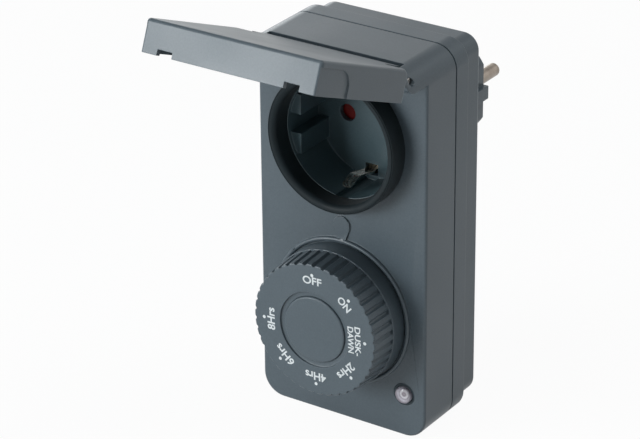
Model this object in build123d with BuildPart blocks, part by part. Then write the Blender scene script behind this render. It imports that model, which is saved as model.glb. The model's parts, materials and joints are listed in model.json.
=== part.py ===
from build123d import *

import os
from math import cos, radians, sin, sqrt

# Outdoor plug-in timer switch: a Schuko socket under a hinged lid, an eight-way dial and a light
# sensor on the front, a Schuko plug on the back. Millimetres. The origin is the centre of the
# plug's contact face, +Y runs into the wall socket, +X is the user's right and +Z is up.
# A place along Y is given as a height in front of the plug's contact face, growing along -Y.

# ---- housing ----
body_width = 66.0
body_height = 138.0
body_depth = 36.6
corner_radius = 8.0
edge_radius = 0.9
wall = 2.4
plug_below_top = 35.5
front_shell_depth = 17.6
gasket_thickness = 0.5
gasket_setback = 0.3
flush_depth = 7.5
tail_inset = 2.2
tail_edge_radius = 1.6
tongue_thickness = 1.4
tongue_length = 2.5
tongue_clearance = 0.25

# ---- plug and its pins ----
plug_length = 27.0
plug_radius = 19.0
plug_wall = 4.0
plug_bore_radius = 13.0
plug_flat_half = 16.3
plug_flat_length = 17.5
plug_key_height = 4.8
plug_key_reach = 18.3
pin_radius = 2.4
pin_length = 19.0
pin_pitch = 19.0
pin_root_length = 9.0
pin_root_radius = 2.8
pin_collar_radius = 3.4
pin_collar_thickness = 1.2
pin_tip_radius = 1.2
pin_fit = 0.03
earth_slot_width = 6.4
earth_slot_depth = 3.0
earth_slot_length = 15.0
plug_clip_width = 5.0
plug_clip_start = 1.0
plug_clip_bow_height = 6.5
plug_clip_sink = 2.5
plug_clip_bow_sink = 1.3

# ---- socket ----
socket_above_plug = 2.5
recess_radius = 21.5
recess_depth = 18.1
insert_wall = 1.6
insert_floor = 2.2
insert_flange_width = 2.9
insert_flange_thickness = 1.6
insert_fit = 0.2
pin_hole_radius = 3.0
guide_half_gap = 17.1
guide_height = 7.4
guide_key_gap = 6.8
guide_setback = 1.4
clip_slot_width = 4.8
clip_slot_start = 16.6
clip_slot_end = 20.6
clip_channel_depth = 0.9
collar_outer_radius = 24.7
collar_inner_radius = 21.7
collar_height = 7.3
collar_lip_radius = 1.9
collar_edge_radius = 0.8

# ---- shutter behind the pin holes ----
shutter_thickness = 1.2
shutter_clearance = 0.15
shutter_arm_half = 3.4
shutter_outer_radius = 13.6
shutter_hub_radius = 4.6
shutter_pivot_radius = 1.6
running_fit = 0.05
spring_coil_radius = 2.4
spring_wire = 0.5
spring_pitch = 0.65
spring_turns = 3
spring_pocket_radius = 3.2
spring_pocket_depth = 2.6

# ---- contacts and straps ----
carrier_radius = 20.0
carrier_flange_radius = 22.6
carrier_flange_thickness = 1.5
carrier_back_gap = 2.3
carrier_slot_width = 4.6
carrier_slot_start = 17.8
sleeve_wall = 0.55
sleeve_bore_radius = 2.45
sleeve_end_depth = 37.7
sleeve_slit = 1.0
sleeve_clearance = 0.3
strip_thickness = 0.8
strap_width = 4.0
strap_drop = 1.4
strap_foot = 3.0
strap_floor_gap = 0.3
line_in_z = -26.0
board_strap_x = 14.5
board_strap_z = -28.0
earth_strip_thickness = 0.6
earth_strip_width = 4.0
earth_leg_radius = 18.4
earth_grip_radius = 16.5
earth_tip_radius = 19.0
earth_grip_depth = 7.5
earth_tip_depth = 2.4
earth_bend_depth = 16.0
earth_foot = 5.0

# ---- lid and hinge ----
hinge_forward = 7.6
hinge_below_top = 3.5
lid_open_angle = 112.4
lid_end_gap = 1.95
lid_outer_rise = 4.2
lid_rim_drop = 6.84
lid_wall = 1.8
lid_plate = 2.0
lid_edge_radius = 1.2
lid_heel_radius = 3.0
lid_wall_start = 5.0
lid_notch_width = 5.6
lid_notch_depth = 2.0
lid_notch_x = 23.8
lid_grip_length = 18.0
lid_grip_depth = 0.5
lid_grip_radius = 6.0
lid_grip_rise = 2.0
lid_seal_radius = 24.4
lid_seal_width = 2.4
lid_seal_thickness = 2.2
lid_seat_wall = 1.0
lid_seat_height = 1.2
lid_seat_clearance = 0.1
lug_width = 7.0
lug_clearance = 0.4
lug_radius = 3.5
hood_forward = 3.0
hinge_pin_radius = 1.3
hinge_pin_length = 64.8

# ---- dial ----
dial_shift = 0.95
dial_moat_clearance = 0.5
dial_ring_width = 1.5
dial_ring_height = 1.2
knob_gap = 0.4
knob_height = 17.0
knob_radius = 25.0
knob_band_height = 6.7
knob_crest_step = 0.3
knob_front_radius = 24.1
knob_edge_radius = 0.5
knob_wall = 1.8
knob_hub_radius = 6.5
knob_hub_setback = 0.8
rib_count = 42
rib_groove_radius = 0.8
rib_groove_depth = 0.7
cap_radius = 11.95
cap_thickness = 2.6
cap_clearance = 0.1
cap_edge_radius = 0.6
cap_groove_radius = 13.7
cap_groove_depth = 0.7
knob_screw_radius = 1.25
knob_screw_length = 8.0
knob_screw_head_radius = 2.8
knob_screw_head_height = 1.8
knob_screw_sink_radius = 3.2
knob_screw_sink_depth = 2.0
knob_screw_floor = 1.4
shaft_radius = 3.0
shaft_flat = 2.3
shaft_boss_radius = 7.0
shaft_boss_length = 3.0
seal_groove_radius = 4.4
seal_groove_depth = 1.6
seal_section_radius = 0.68
seal_ring_radius = 3.7

# ---- rotary switch under the dial ----
switch_width = 13.0
switch_height = 6.5
switch_bore_radius = 5.8
switch_floor = 1.0
switch_cover_thickness = 1.2
switch_bush_radius = 4.4
switch_bush_height = 0.5
rotor_radius = 4.6
rotor_thickness = 3.0
rotor_clearance = 0.1
rotor_notch_radius = 0.5
rotor_notch_depth = 0.3
detent_count = 8
detent_leaf_thickness = 0.3
detent_leaf_width = 2.4
detent_leaf_half = 3.2
detent_tip_gap = 0.1

# ---- pointer and sensor lens on the front face ----
pointer_above_dial = 32.0
pointer_radius = 3.3
pointer_tip_drop = 10.0
pointer_height = 0.6
lens_from_side = 8.3
lens_above_bottom = 15.9
lens_radius = 3.1
lens_clearance = 0.1
lens_rise = 1.6
lens_dome_radius = 1.1
lens_flange_radius = 4.0
lens_flange_thickness = 1.0
lens_wall = 1.0
lens_sink_radius = 4.1
lens_sink_depth = 0.7
lens_gasket_setback = 0.15

# ---- fastening and circuit board ----
boss_inset = 8.5
boss_radius = 3.2
boss_pilot_radius = 1.55
boss_end_wall = 2.4
post_radius = 4.2
post_hole_radius = 1.75
post_counterbore_radius = 3.0
post_counterbore_depth = 8.0
screw_radius = 1.5
screw_head_radius = 2.7
screw_head_height = 1.9
screw_length = 20.0
board_depth = 14.0
board_thickness = 1.6
board_side_gap = 5.0
board_top = -22.5
board_bottom_gap = 12.2
board_post_radius = 2.6
board_post_side = 3.0
board_post_below_top = 6.5
board_post_above_bottom = 23.0
board_screw_radius = 1.0
board_screw_hole_radius = 1.2
board_screw_head_radius = 2.0
board_screw_head_height = 1.4
board_screw_length = 7.0

# ---- components on the board: centre across, distance from the board's edge, sizes ----
relay_x = -12.0
relay_above_bottom = 11.3
relay_width = 19.0
relay_length = 15.5
relay_height = 15.3
capacitor_x = 14.0
capacitor_above_bottom = 14.3
capacitor_width = 8.5
capacitor_length = 18.0
capacitor_height = 14.5
smoother_x = 14.0
smoother_below_top = 24.5
smoother_radius = 5.0
smoother_height = 12.0
varistor_x = -15.0
varistor_below_top = 25.5
varistor_radius = 5.0
varistor_thickness = 3.8
varistor_rise = 0.9
varistor_lead_radius = 0.4
varistor_lead_offset = 2.5
fuse_x = 0.0
fuse_below_top = 13.5
fuse_radius = 1.8
fuse_length = 9.0
fuse_rise = 0.8
fuse_lead_radius = 0.35
fuse_lead_overhang = 1.6
chip_x = -15.0
chip_below_top = 17.5
chip_width = 7.5
chip_length = 10.0
chip_height = 2.2
rectifier_x = 14.0
rectifier_below_top = 17.5
rectifier_width = 6.4
rectifier_height = 2.6
resistor_x = 3.0
resistor_pitch = 3.6
resistor_count = 3
resistor_below_top = 9.5
resistor_length = 6.0
resistor_radius = 1.1
photocell_radius = 2.5
photocell_thickness = 1.8
photocell_rise = 6.6
photocell_lead_radius = 0.3
photocell_lead_offset = 1.3

# ---- derived places ----
face = plug_length + body_depth
seam = face - front_shell_depth
rear_rim = seam - gasket_thickness
step = rear_rim - flush_depth
rear_floor = plug_length + wall
front_floor = face - wall
top_z = plug_below_top
bottom_z = top_z - body_height
centre_z = (top_z + bottom_z) / 2
socket_z = socket_above_plug
dial_z = (socket_z - collar_outer_radius + bottom_z) / 2 + dial_shift
lens_x = body_width / 2 - lens_from_side
lens_z = bottom_z + lens_above_bottom
hinge_height = face + hinge_forward
hinge_z = top_z - hinge_below_top
pin_x = pin_pitch / 2
recess_floor = face - recess_depth
insert_back = recess_floor - insert_floor
insert_radius = recess_radius + insert_wall
carrier_front = insert_back - shutter_thickness - 2 * shutter_clearance
carrier_back = rear_floor + carrier_back_gap
sleeve_front = carrier_front - carrier_flange_thickness
sleeve_back = face - sleeve_end_depth
sleeve_radius = sleeve_bore_radius + sleeve_wall
board_front = face - board_depth
board_back = board_front - board_thickness
board_half = body_width / 2 - board_side_gap
board_bottom = bottom_z + board_bottom_gap
screw_seat = plug_length + post_counterbore_depth
knob_base = face + knob_gap
knob_front = knob_base + knob_height
cap_seat = knob_front - cap_thickness
screw_sink = cap_seat - knob_screw_sink_depth
shaft_top = screw_sink - knob_screw_floor
switch_front = board_front + switch_height
cover_front = switch_front + switch_cover_thickness
rotor_back = board_front + switch_floor + rotor_clearance
seal_groove_back = front_floor - shaft_boss_length

os.makedirs("parts", exist_ok=True)


def front_plane(height):
    """Plane that faces the user, a height in front of the plug's contact face."""
    return Plane.XZ.offset(height)


def turning_plane(x, z):
    """Plane through the Y-parallel axis at (x, z): first radius, then height."""
    return Plane(origin=(x, 0, z), x_dir=(1, 0, 0), z_dir=(0, 0, -1))


def turning_axis(x, z):
    """The Y-parallel axis at (x, z), pointing at the user."""
    return Axis((x, 0, z), (0, -1, 0))


def side_plane(x):
    """Upright plane across the width at x: first height, then Z."""
    return Plane(origin=(x, 0, 0), x_dir=(0, -1, 0), z_dir=(-1, 0, 0))


def patch(first_low, first_high, second_low, second_high, mode=Mode.ADD):
    """Rectangle between two values of each direction of the open sketch."""
    with Locations(((first_low + first_high) / 2, (second_low + second_high) / 2)):
        Rectangle(first_high - first_low, second_high - second_low, mode=mode)


def outline(inset=0.0, mode=Mode.ADD):
    """The housing's rounded outline, taken in by an inset, in the open sketch."""
    with Locations((0, centre_z)):
        RectangleRounded(
            body_width - 2 * inset, body_height - 2 * inset, corner_radius - inset, mode=mode
        )


def bent_strip(thickness, *points):
    """Sheet metal bent along the points, seen on edge, in the open sketch."""
    with BuildLine() as path:
        Polyline(*points)
    trace(path.edges(), thickness)


def d_shape(radius, flat):
    """Round with one flat, on the dial axis, in the open sketch."""
    with Locations((0, dial_z)):
        Circle(radius)
    patch(-radius, radius, dial_z + flat, dial_z + radius, Mode.SUBTRACT)


def save(part, label):
    """Name a finished sub-part and write it to its own file."""
    part.label = label
    export_step(part, f"parts/{label}.step")


corner_x = body_width / 2 - boss_inset
corner_top = top_z - boss_inset
corner_bottom = bottom_z + boss_inset
corner_points = [(x, z) for x in (-corner_x, corner_x) for z in (corner_bottom, corner_top)]
board_post_x = board_half - board_post_side
board_post_rows = (board_bottom + board_post_above_bottom, board_top - board_post_below_top)
board_points = [(x, z) for x in (-board_post_x, board_post_x) for z in board_post_rows]
plug_pin_points = [(-pin_x, 0), (pin_x, 0)]
socket_pin_points = [(-pin_x, socket_z), (pin_x, socket_z)]

# ---- front housing: face, hood and hinge lugs, dial ring, bores, bosses ----
lug_bottom = hinge_z - lug_radius
lug_inner = body_width / 2 - lug_width
lug_front = hinge_height + lug_radius
lug_root = face - edge_radius
ring_middle = knob_radius + dial_moat_clearance + dial_ring_width / 2
ring_crest = face + dial_ring_height - dial_ring_width / 2
pointer_z = dial_z + pointer_above_dial
pointer_cos = pointer_radius / pointer_tip_drop
pointer_sin = sqrt(1 - pointer_cos**2)

with BuildPart() as front_housing:
    with BuildSketch(front_plane(seam)):
        outline()
    extrude(amount=front_shell_depth)
    fillet(front_housing.faces().sort_by(Axis.Y)[0].edges(), edge_radius)
    with BuildSketch(front_plane(lug_root)):
        outline()
        patch(-body_width, body_width, lug_bottom, top_z, Mode.INTERSECT)
    extrude(amount=edge_radius + hood_forward)
    with BuildSketch(front_plane(lug_root)):
        outline()
        patch(-body_width, body_width, lug_bottom, top_z, Mode.INTERSECT)
        patch(-lug_inner, lug_inner, lug_bottom, top_z, Mode.SUBTRACT)
    extrude(amount=lug_front - lug_root)
    with BuildSketch(side_plane(0)):
        patch(hinge_height, hinge_height + 2 * lug_radius, lug_bottom, top_z)
        with Locations((hinge_height, hinge_z)):
            Circle(lug_radius, mode=Mode.SUBTRACT)
    extrude(amount=body_width, both=True, mode=Mode.SUBTRACT)
    with BuildSketch(front_plane(seam)):
        outline(wall)
    extrude(amount=front_shell_depth - wall, mode=Mode.SUBTRACT)
    with BuildSketch(turning_plane(0, dial_z)):
        patch(ring_middle - dial_ring_width / 2, ring_middle + dial_ring_width / 2, lug_root, ring_crest)
        with Locations((ring_middle, ring_crest)):
            Circle(dial_ring_width / 2)
    revolve(axis=turning_axis(0, dial_z))
    with BuildSketch(front_plane(lug_root)):
        with Locations((0, pointer_z)):
            Circle(pointer_radius)
        Polygon(
            (0, pointer_z - pointer_tip_drop),
            (pointer_radius * pointer_sin, pointer_z - pointer_radius * pointer_cos),
            (-pointer_radius * pointer_sin, pointer_z - pointer_radius * pointer_cos),
            align=None,
        )
        with Locations((0, dial_z)):
            Circle(ring_middle, mode=Mode.SUBTRACT)
    extrude(amount=edge_radius + pointer_height)
    with BuildSketch(front_plane(seam)):
        with Locations(*corner_points):
            Circle(boss_radius)
    extrude(amount=front_shell_depth - wall)
    with BuildSketch(front_plane(board_front)):
        with Locations(*board_points):
            Circle(board_post_radius)
    extrude(amount=board_depth - wall)
    with BuildSketch(front_plane(seal_groove_back)):
        with Locations((0, dial_z)):
            Circle(shaft_boss_radius)
    extrude(amount=shaft_boss_length)
    with BuildSketch(front_plane(seal_groove_back)):
        with Locations((0, dial_z)):
            Circle(seal_groove_radius)
    extrude(amount=seal_groove_depth, mode=Mode.SUBTRACT)
    with BuildSketch(front_plane(seam)):
        with Locations(*corner_points):
            Circle(boss_pilot_radius)
    extrude(amount=front_shell_depth - wall - boss_end_wall, mode=Mode.SUBTRACT)
    with BuildSketch(front_plane(board_front)):
        with Locations(*board_points):
            Circle(board_screw_radius + running_fit)
    extrude(amount=board_screw_length, mode=Mode.SUBTRACT)
    with BuildSketch(front_plane(seal_groove_back)):
        with Locations((0, socket_z)):
            Circle(insert_radius + insert_fit)
        with Locations((0, dial_z)):
            Circle(shaft_radius + insert_fit)
        with Locations((lens_x, lens_z)):
            Circle(lens_radius + lens_clearance)
    extrude(amount=shaft_boss_length + 2 * wall, mode=Mode.SUBTRACT)
    with BuildSketch(front_plane(face - lens_sink_depth)):
        with Locations((lens_x, lens_z)):
            Circle(lens_sink_radius)
    extrude(amount=2 * lens_sink_depth, mode=Mode.SUBTRACT)
    with BuildSketch(side_plane(0)):
        with Locations((hinge_height, hinge_z)):
            Circle(hinge_pin_radius + pin_fit)
    extrude(amount=body_width, both=True, mode=Mode.SUBTRACT)
save(front_housing.part, "front_housing")

# ---- gasket between the two shells ----
with BuildPart() as housing_gasket:
    with BuildSketch(front_plane(rear_rim)):
        outline(gasket_setback)
        outline(wall, Mode.SUBTRACT)
    extrude(amount=gasket_thickness)
save(housing_gasket.part, "housing_gasket")

# ---- rear housing: stepped shell, tongue, screw posts and the plug body ----
tail_wall = tail_inset + wall
tongue_outer = wall + tongue_clearance
tongue_inner = tongue_outer + tongue_thickness
earth_web = earth_slot_length - strip_thickness

with BuildPart() as rear_housing:
    with BuildSketch(front_plane(step)):
        outline()
    extrude(amount=flush_depth)
    with BuildSketch(front_plane(plug_length)):
        outline(tail_inset)
    extrude(amount=step - plug_length)
    fillet(rear_housing.faces().sort_by(Axis.Y)[-1].edges(), tail_edge_radius)
    with BuildSketch(front_plane(rear_floor)):
        outline(tail_wall)
    extrude(amount=rear_rim - rear_floor, mode=Mode.SUBTRACT)
    with BuildSketch(front_plane(step)):
        outline(tongue_outer)
        outline(tongue_inner, Mode.SUBTRACT)
    extrude(amount=rear_rim - step + tongue_length)
    with BuildSketch(front_plane(rear_floor)):
        with Locations(*corner_points):
            Circle(post_radius)
    extrude(amount=seam - rear_floor)
    with BuildSketch(front_plane(0)):
        Circle(plug_radius)
    extrude(amount=rear_floor)
    with BuildSketch(front_plane(0)):
        patch(plug_flat_half, 2 * plug_radius, -plug_radius, plug_radius)
        patch(-2 * plug_radius, -plug_flat_half, -plug_radius, plug_radius)
        Rectangle(2 * plug_key_reach, plug_key_height, mode=Mode.SUBTRACT)
    extrude(amount=plug_flat_length, mode=Mode.SUBTRACT)
    with BuildSketch(front_plane(plug_wall)):
        Circle(plug_bore_radius)
    extrude(amount=rear_floor - plug_wall, mode=Mode.SUBTRACT)
    with BuildSketch(front_plane(0)):
        with Locations((0, -plug_radius), (0, plug_radius)):
            Rectangle(earth_slot_width, 2 * earth_slot_depth)
    extrude(amount=earth_slot_length, mode=Mode.SUBTRACT)
    with BuildSketch(front_plane(earth_web - strip_thickness)):
        Rectangle(plug_clip_width + 2 * insert_fit, 2 * plug_radius)
    extrude(amount=2 * strip_thickness, mode=Mode.SUBTRACT)
    with BuildSketch(front_plane(0)):
        with Locations(*plug_pin_points):
            Circle(pin_root_radius + pin_fit)
    extrude(amount=plug_wall, mode=Mode.SUBTRACT)
    with BuildSketch(front_plane(plug_length)):
        with Locations(*corner_points):
            Circle(post_hole_radius)
    extrude(amount=seam - plug_length, mode=Mode.SUBTRACT)
    with BuildSketch(front_plane(plug_length)):
        with Locations(*corner_points):
            Circle(post_counterbore_radius)
    extrude(amount=post_counterbore_depth, mode=Mode.SUBTRACT)
save(rear_housing.part, "rear_housing")

# ---- four screws that hold the shells together ----
with BuildPart() as housing_screws:
    with BuildSketch(front_plane(screw_seat)):
        with Locations(*corner_points):
            Circle(screw_radius)
    extrude(amount=screw_length)
    with BuildSketch(front_plane(screw_seat - screw_head_height)):
        with Locations(*corner_points):
            Circle(screw_head_radius)
    extrude(amount=screw_head_height)
save(housing_screws.part, "housing_screws")

# ---- lid, drawn in its own frame: along the lid, and square to it ----
lid_angle = radians(lid_open_angle)
hinge_point = (0, -hinge_height, hinge_z)
lid_along = Axis(hinge_point, (0, -sin(lid_angle), -cos(lid_angle)))
lid_out = Axis(hinge_point, (0, -cos(lid_angle), sin(lid_angle)))
lid_side = Plane(origin=hinge_point, x_dir=lid_along.direction, z_dir=(1, 0, 0))
lid_face = Plane(origin=hinge_point, x_dir=(1, 0, 0), z_dir=lid_out.direction)
lid_underside = lid_outer_rise - lid_plate
lid_half = body_width / 2
lid_length = hinge_z - socket_z + collar_outer_radius + lid_end_gap + lid_wall
seal_centre = socket_z - hinge_z
seat_outer = lid_seal_radius + lid_seat_clearance + lid_seat_wall
seat_inner = lid_seal_radius - lid_seal_width - lid_seat_clearance - lid_seat_wall
tongue_half = lug_inner - lug_clearance

with BuildPart() as lid_cover:
    with BuildSketch(lid_side):
        patch(lid_wall_start, lid_length, -lid_outer_rise, lid_rim_drop)
    extrude(amount=lid_half, both=True)
    fillet(lid_cover.faces().sort_by(lid_out)[-1].edges().sort_by(lid_along)[0], lid_heel_radius)
    fillet(lid_cover.edges().filter_by(lid_out).group_by(lid_along)[-1], lid_edge_radius)
    fillet(lid_cover.faces().sort_by(lid_out)[-1].edges().sort_by(lid_along)[1:], lid_edge_radius)
    with BuildSketch(lid_side):
        patch(0, lid_length - lid_wall, -lid_underside, 2 * lid_rim_drop)
    extrude(amount=lid_half - lid_wall, both=True, mode=Mode.SUBTRACT)
    with BuildSketch(lid_side):
        Circle(lid_outer_rise)
        patch(0, lid_wall_start + lid_heel_radius, -lid_outer_rise, -lid_underside)
    extrude(amount=tongue_half, both=True)
    with BuildSketch(lid_face.offset(lid_underside)):
        with Locations((0, seal_centre)):
            Circle(seat_outer)
            Circle(seat_outer - lid_seat_wall, mode=Mode.SUBTRACT)
            Circle(seat_inner + lid_seat_wall)
            Circle(seat_inner, mode=Mode.SUBTRACT)
    extrude(amount=-lid_seat_height)
    with BuildSketch(lid_side):
        Circle(hinge_pin_radius + running_fit)
    extrude(amount=lid_half, both=True, mode=Mode.SUBTRACT)
    with BuildSketch(lid_face.offset(-lid_rim_drop)):
        with Locations((-lid_notch_x, -lid_length), (lid_notch_x, -lid_length)):
            Rectangle(lid_notch_width, 3 * lid_wall)
    extrude(amount=lid_notch_depth, mode=Mode.SUBTRACT)
    for side in (-1, 1):
        with BuildSketch(lid_side.offset(side * lid_half)):
            with Locations((lid_length, lid_rim_drop)):
                RectangleRounded(
                    2 * lid_grip_length, 2 * (lid_rim_drop + lid_grip_rise), lid_grip_radius
                )
        extrude(amount=-side * lid_grip_depth, mode=Mode.SUBTRACT)
save(lid_cover.part, "lid_cover")

with BuildPart() as lid_seal:
    with BuildSketch(lid_face.offset(lid_underside)):
        with Locations((0, seal_centre)):
            Circle(lid_seal_radius)
            Circle(lid_seal_radius - lid_seal_width, mode=Mode.SUBTRACT)
    extrude(amount=-lid_seal_thickness)
save(lid_seal.part, "lid_seal")

with BuildPart() as hinge_pin:
    with BuildSketch(lid_side):
        Circle(hinge_pin_radius)
    extrude(amount=hinge_pin_length / 2, both=True)
save(hinge_pin.part, "hinge_pin")

# ---- soft collar round the socket ----
with BuildPart() as socket_collar:
    with BuildSketch(turning_plane(0, socket_z)) as collar_section:
        patch(collar_inner_radius, collar_outer_radius, face, face + collar_height)
        collar_front = collar_section.vertices().group_by(Axis.Y)[-1].sort_by(Axis.X)
        fillet(collar_front[0], collar_lip_radius)
        collar_front = collar_section.vertices().group_by(Axis.Y)[-1].sort_by(Axis.X)
        fillet(collar_front[-1], collar_edge_radius)
    revolve(axis=turning_axis(0, socket_z))
save(socket_collar.part, "socket_collar")

# ---- socket cup with guide blocks, pin holes and earth slots ----
channel_end = recess_radius + clip_channel_depth
flange_radius = insert_radius + insert_flange_width

with BuildPart() as socket_insert:
    with BuildSketch(turning_plane(0, socket_z)):
        patch(0, insert_radius, carrier_front, face)
        patch(0, recess_radius, recess_floor, face, Mode.SUBTRACT)
        patch(0, recess_radius, carrier_front, insert_back, Mode.SUBTRACT)
        patch(recess_radius, flange_radius, front_floor - insert_flange_thickness, front_floor)
    revolve(axis=turning_axis(0, socket_z))
    with BuildSketch(front_plane(recess_floor)):
        guide_low = guide_key_gap / 2
        for side in (-1, 1):
            with Locations((0, socket_z + side * (guide_low + guide_height / 2))):
                Rectangle(2 * insert_radius, guide_height)
        Rectangle(2 * guide_half_gap, body_height, mode=Mode.SUBTRACT)
        with Locations((0, socket_z)):
            Circle(recess_radius + insert_wall / 2, mode=Mode.INTERSECT)
    extrude(amount=recess_depth - guide_setback)
    with BuildSketch(front_plane(insert_back)):
        with Locations(*socket_pin_points):
            Circle(pin_hole_radius)
        for side in (-1, 1):
            with Locations((0, socket_z + side * (clip_slot_start + clip_slot_end) / 2)):
                Rectangle(clip_slot_width, clip_slot_end - clip_slot_start)
    extrude(amount=insert_floor, mode=Mode.SUBTRACT)
    with BuildSketch(front_plane(recess_floor)):
        with Locations((0, socket_z)):
            Rectangle(clip_slot_width, 2 * channel_end)
    extrude(amount=recess_depth, mode=Mode.SUBTRACT)
save(socket_insert.part, "socket_insert")

# ---- shutter that covers the pin holes until a plug turns it aside ----
shutter_back = carrier_front + shutter_clearance

with BuildPart() as shutter:
    with BuildSketch(front_plane(shutter_back)):
        with Locations((0, socket_z)):
            Circle(shutter_hub_radius)
            Rectangle(2 * shutter_outer_radius, 2 * shutter_arm_half)
            Circle(shutter_outer_radius, mode=Mode.INTERSECT)
            Circle(shutter_pivot_radius + running_fit, mode=Mode.SUBTRACT)
    extrude(amount=shutter_thickness)
save(shutter.part, "shutter")

spring_length = spring_turns * spring_pitch
spring_back = carrier_front - spring_pocket_depth + spring_wire / 2

with BuildPart() as shutter_spring:
    with BuildLine() as spring_path:
        Helix(
            spring_pitch,
            spring_length,
            spring_coil_radius,
            center=(0, -spring_back, socket_z),
            direction=(0, -1, 0),
        )
    with BuildSketch(Plane(origin=spring_path.line @ 0, z_dir=spring_path.line % 0)):
        Rectangle(spring_wire, spring_wire)
    sweep()
save(shutter_spring.part, "shutter_spring")

# ---- insulating carrier behind the cup, with the shutter's pivot ----
with BuildPart() as contact_carrier:
    with BuildSketch(turning_plane(0, socket_z)):
        patch(0, carrier_radius, carrier_back, carrier_front)
        patch(0, carrier_flange_radius, carrier_front - carrier_flange_thickness, carrier_front)
        patch(0, spring_pocket_radius, carrier_front - spring_pocket_depth, carrier_front, Mode.SUBTRACT)
        patch(0, shutter_pivot_radius, carrier_back, insert_back - shutter_clearance)
    revolve(axis=turning_axis(0, socket_z))
    with BuildSketch(front_plane(carrier_back)):
        with Locations(*socket_pin_points):
            Circle(sleeve_radius + sleeve_clearance)
    extrude(amount=sleeve_front - carrier_back, mode=Mode.SUBTRACT)
    with BuildSketch(front_plane(carrier_back)):
        with Locations(*socket_pin_points):
            Circle(pin_hole_radius)
        with Locations((0, socket_z)):
            Rectangle(carrier_slot_width, 3 * carrier_radius)
            Rectangle(carrier_slot_width, 2 * carrier_slot_start, mode=Mode.SUBTRACT)
    extrude(amount=carrier_front - carrier_back, mode=Mode.SUBTRACT)
save(contact_carrier.part, "contact_carrier")

# ---- the two slit sleeves that grip a plug's pins ----
with BuildPart() as line_contact:
    with BuildSketch(front_plane(sleeve_back)):
        with Locations((-pin_x, socket_z)):
            Circle(sleeve_radius)
            Circle(sleeve_bore_radius, mode=Mode.SUBTRACT)
        with Locations((-pin_x + sleeve_radius, socket_z)):
            Rectangle(2 * sleeve_radius, sleeve_slit, mode=Mode.SUBTRACT)
    extrude(amount=sleeve_front - sleeve_back)
save(line_contact.part, "line_contact")

with BuildPart() as neutral_contact:
    with BuildSketch(front_plane(sleeve_back)):
        with Locations((pin_x, socket_z)):
            Circle(sleeve_radius)
            Circle(sleeve_bore_radius, mode=Mode.SUBTRACT)
        with Locations((pin_x - sleeve_radius, socket_z)):
            Rectangle(2 * sleeve_radius, sleeve_slit, mode=Mode.SUBTRACT)
    extrude(amount=sleeve_front - sleeve_back)
save(neutral_contact.part, "neutral_contact")

# ---- earth clips of the socket, one bent strip ----
earth_back = carrier_back - earth_strip_thickness / 2
earth_profile = [
    (face - earth_tip_depth, earth_tip_radius),
    (face - earth_grip_depth, earth_grip_radius),
    (face - earth_bend_depth, earth_leg_radius),
    (earth_back, earth_leg_radius),
]

with BuildPart() as socket_earth_bracket:
    with BuildSketch(side_plane(0)):
        bent_strip(
            earth_strip_thickness,
            *[(height, socket_z + radius) for height, radius in earth_profile],
            *[(height, socket_z - radius) for height, radius in reversed(earth_profile)],
        )
    extrude(amount=earth_strip_width / 2, both=True)
save(socket_earth_bracket.part, "socket_earth_bracket")

# ---- plug pins ----
with BuildPart() as line_pin:
    with BuildSketch(turning_plane(-pin_x, 0)):
        patch(0, pin_radius, -pin_length, 0)
        patch(0, pin_root_radius, 0, pin_root_length)
        patch(0, pin_collar_radius, plug_wall, plug_wall + pin_collar_thickness)
    revolve(axis=turning_axis(-pin_x, 0))
    fillet(line_pin.faces().sort_by(Axis.Y)[-1].edges(), pin_tip_radius)
save(line_pin.part, "line_pin")

with BuildPart() as neutral_pin:
    with BuildSketch(turning_plane(pin_x, 0)):
        patch(0, pin_radius, -pin_length, 0)
        patch(0, pin_root_radius, 0, pin_root_length)
        patch(0, pin_collar_radius, plug_wall, plug_wall + pin_collar_thickness)
    revolve(axis=turning_axis(pin_x, 0))
    fillet(neutral_pin.faces().sort_by(Axis.Y)[-1].edges(), pin_tip_radius)
save(neutral_pin.part, "neutral_pin")

# ---- earth clips of the plug, one bent strip ----
clip_leg = plug_radius - plug_clip_sink
clip_profile = [
    (plug_clip_start, clip_leg),
    (plug_clip_bow_height, plug_radius - plug_clip_bow_sink),
    (earth_web, clip_leg),
]

with BuildPart() as plug_earth_bracket:
    with BuildSketch(side_plane(0)):
        bent_strip(
            strip_thickness,
            *clip_profile,
            *[(height, -radius) for height, radius in reversed(clip_profile)],
        )
    extrude(amount=plug_clip_width / 2, both=True)
save(plug_earth_bracket.part, "plug_earth_bracket")

# ---- straps between pins, sleeves and board ----
earth_strap_start = earth_web + strip_thickness
earth_strap_end = carrier_back - earth_strip_thickness - strip_thickness / 2

with BuildPart() as earth_strap:
    with BuildSketch(side_plane(0)):
        bent_strip(
            strip_thickness,
            (earth_strap_start, -earth_foot),
            (earth_strap_start, 0),
            (earth_strap_end, 0),
            (earth_strap_end, earth_foot),
        )
    extrude(amount=strap_width / 2, both=True)
save(earth_strap.part, "earth_strap")

strap_start = pin_root_length + strip_thickness / 2

with BuildPart() as neutral_strap:
    with BuildSketch(side_plane(pin_x)):
        bent_strip(
            strip_thickness,
            (strap_start, -strap_drop),
            (strap_start, socket_z),
            (sleeve_back - strip_thickness / 2, socket_z),
            (sleeve_back - strip_thickness / 2, socket_z + strap_foot),
        )
    extrude(amount=strap_width / 2, both=True)
save(neutral_strap.part, "neutral_strap")

line_in_height = rear_floor + strap_floor_gap + strip_thickness / 2

with BuildPart() as line_in_strap:
    with BuildSketch(side_plane(-pin_x)):
        bent_strip(
            strip_thickness,
            (strap_start, strap_drop),
            (strap_start, -strap_drop),
            (line_in_height, -strap_drop),
            (line_in_height, line_in_z),
            (board_back, line_in_z),
        )
    extrude(amount=strap_width / 2, both=True)
save(line_in_strap.part, "line_in_strap")

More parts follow.
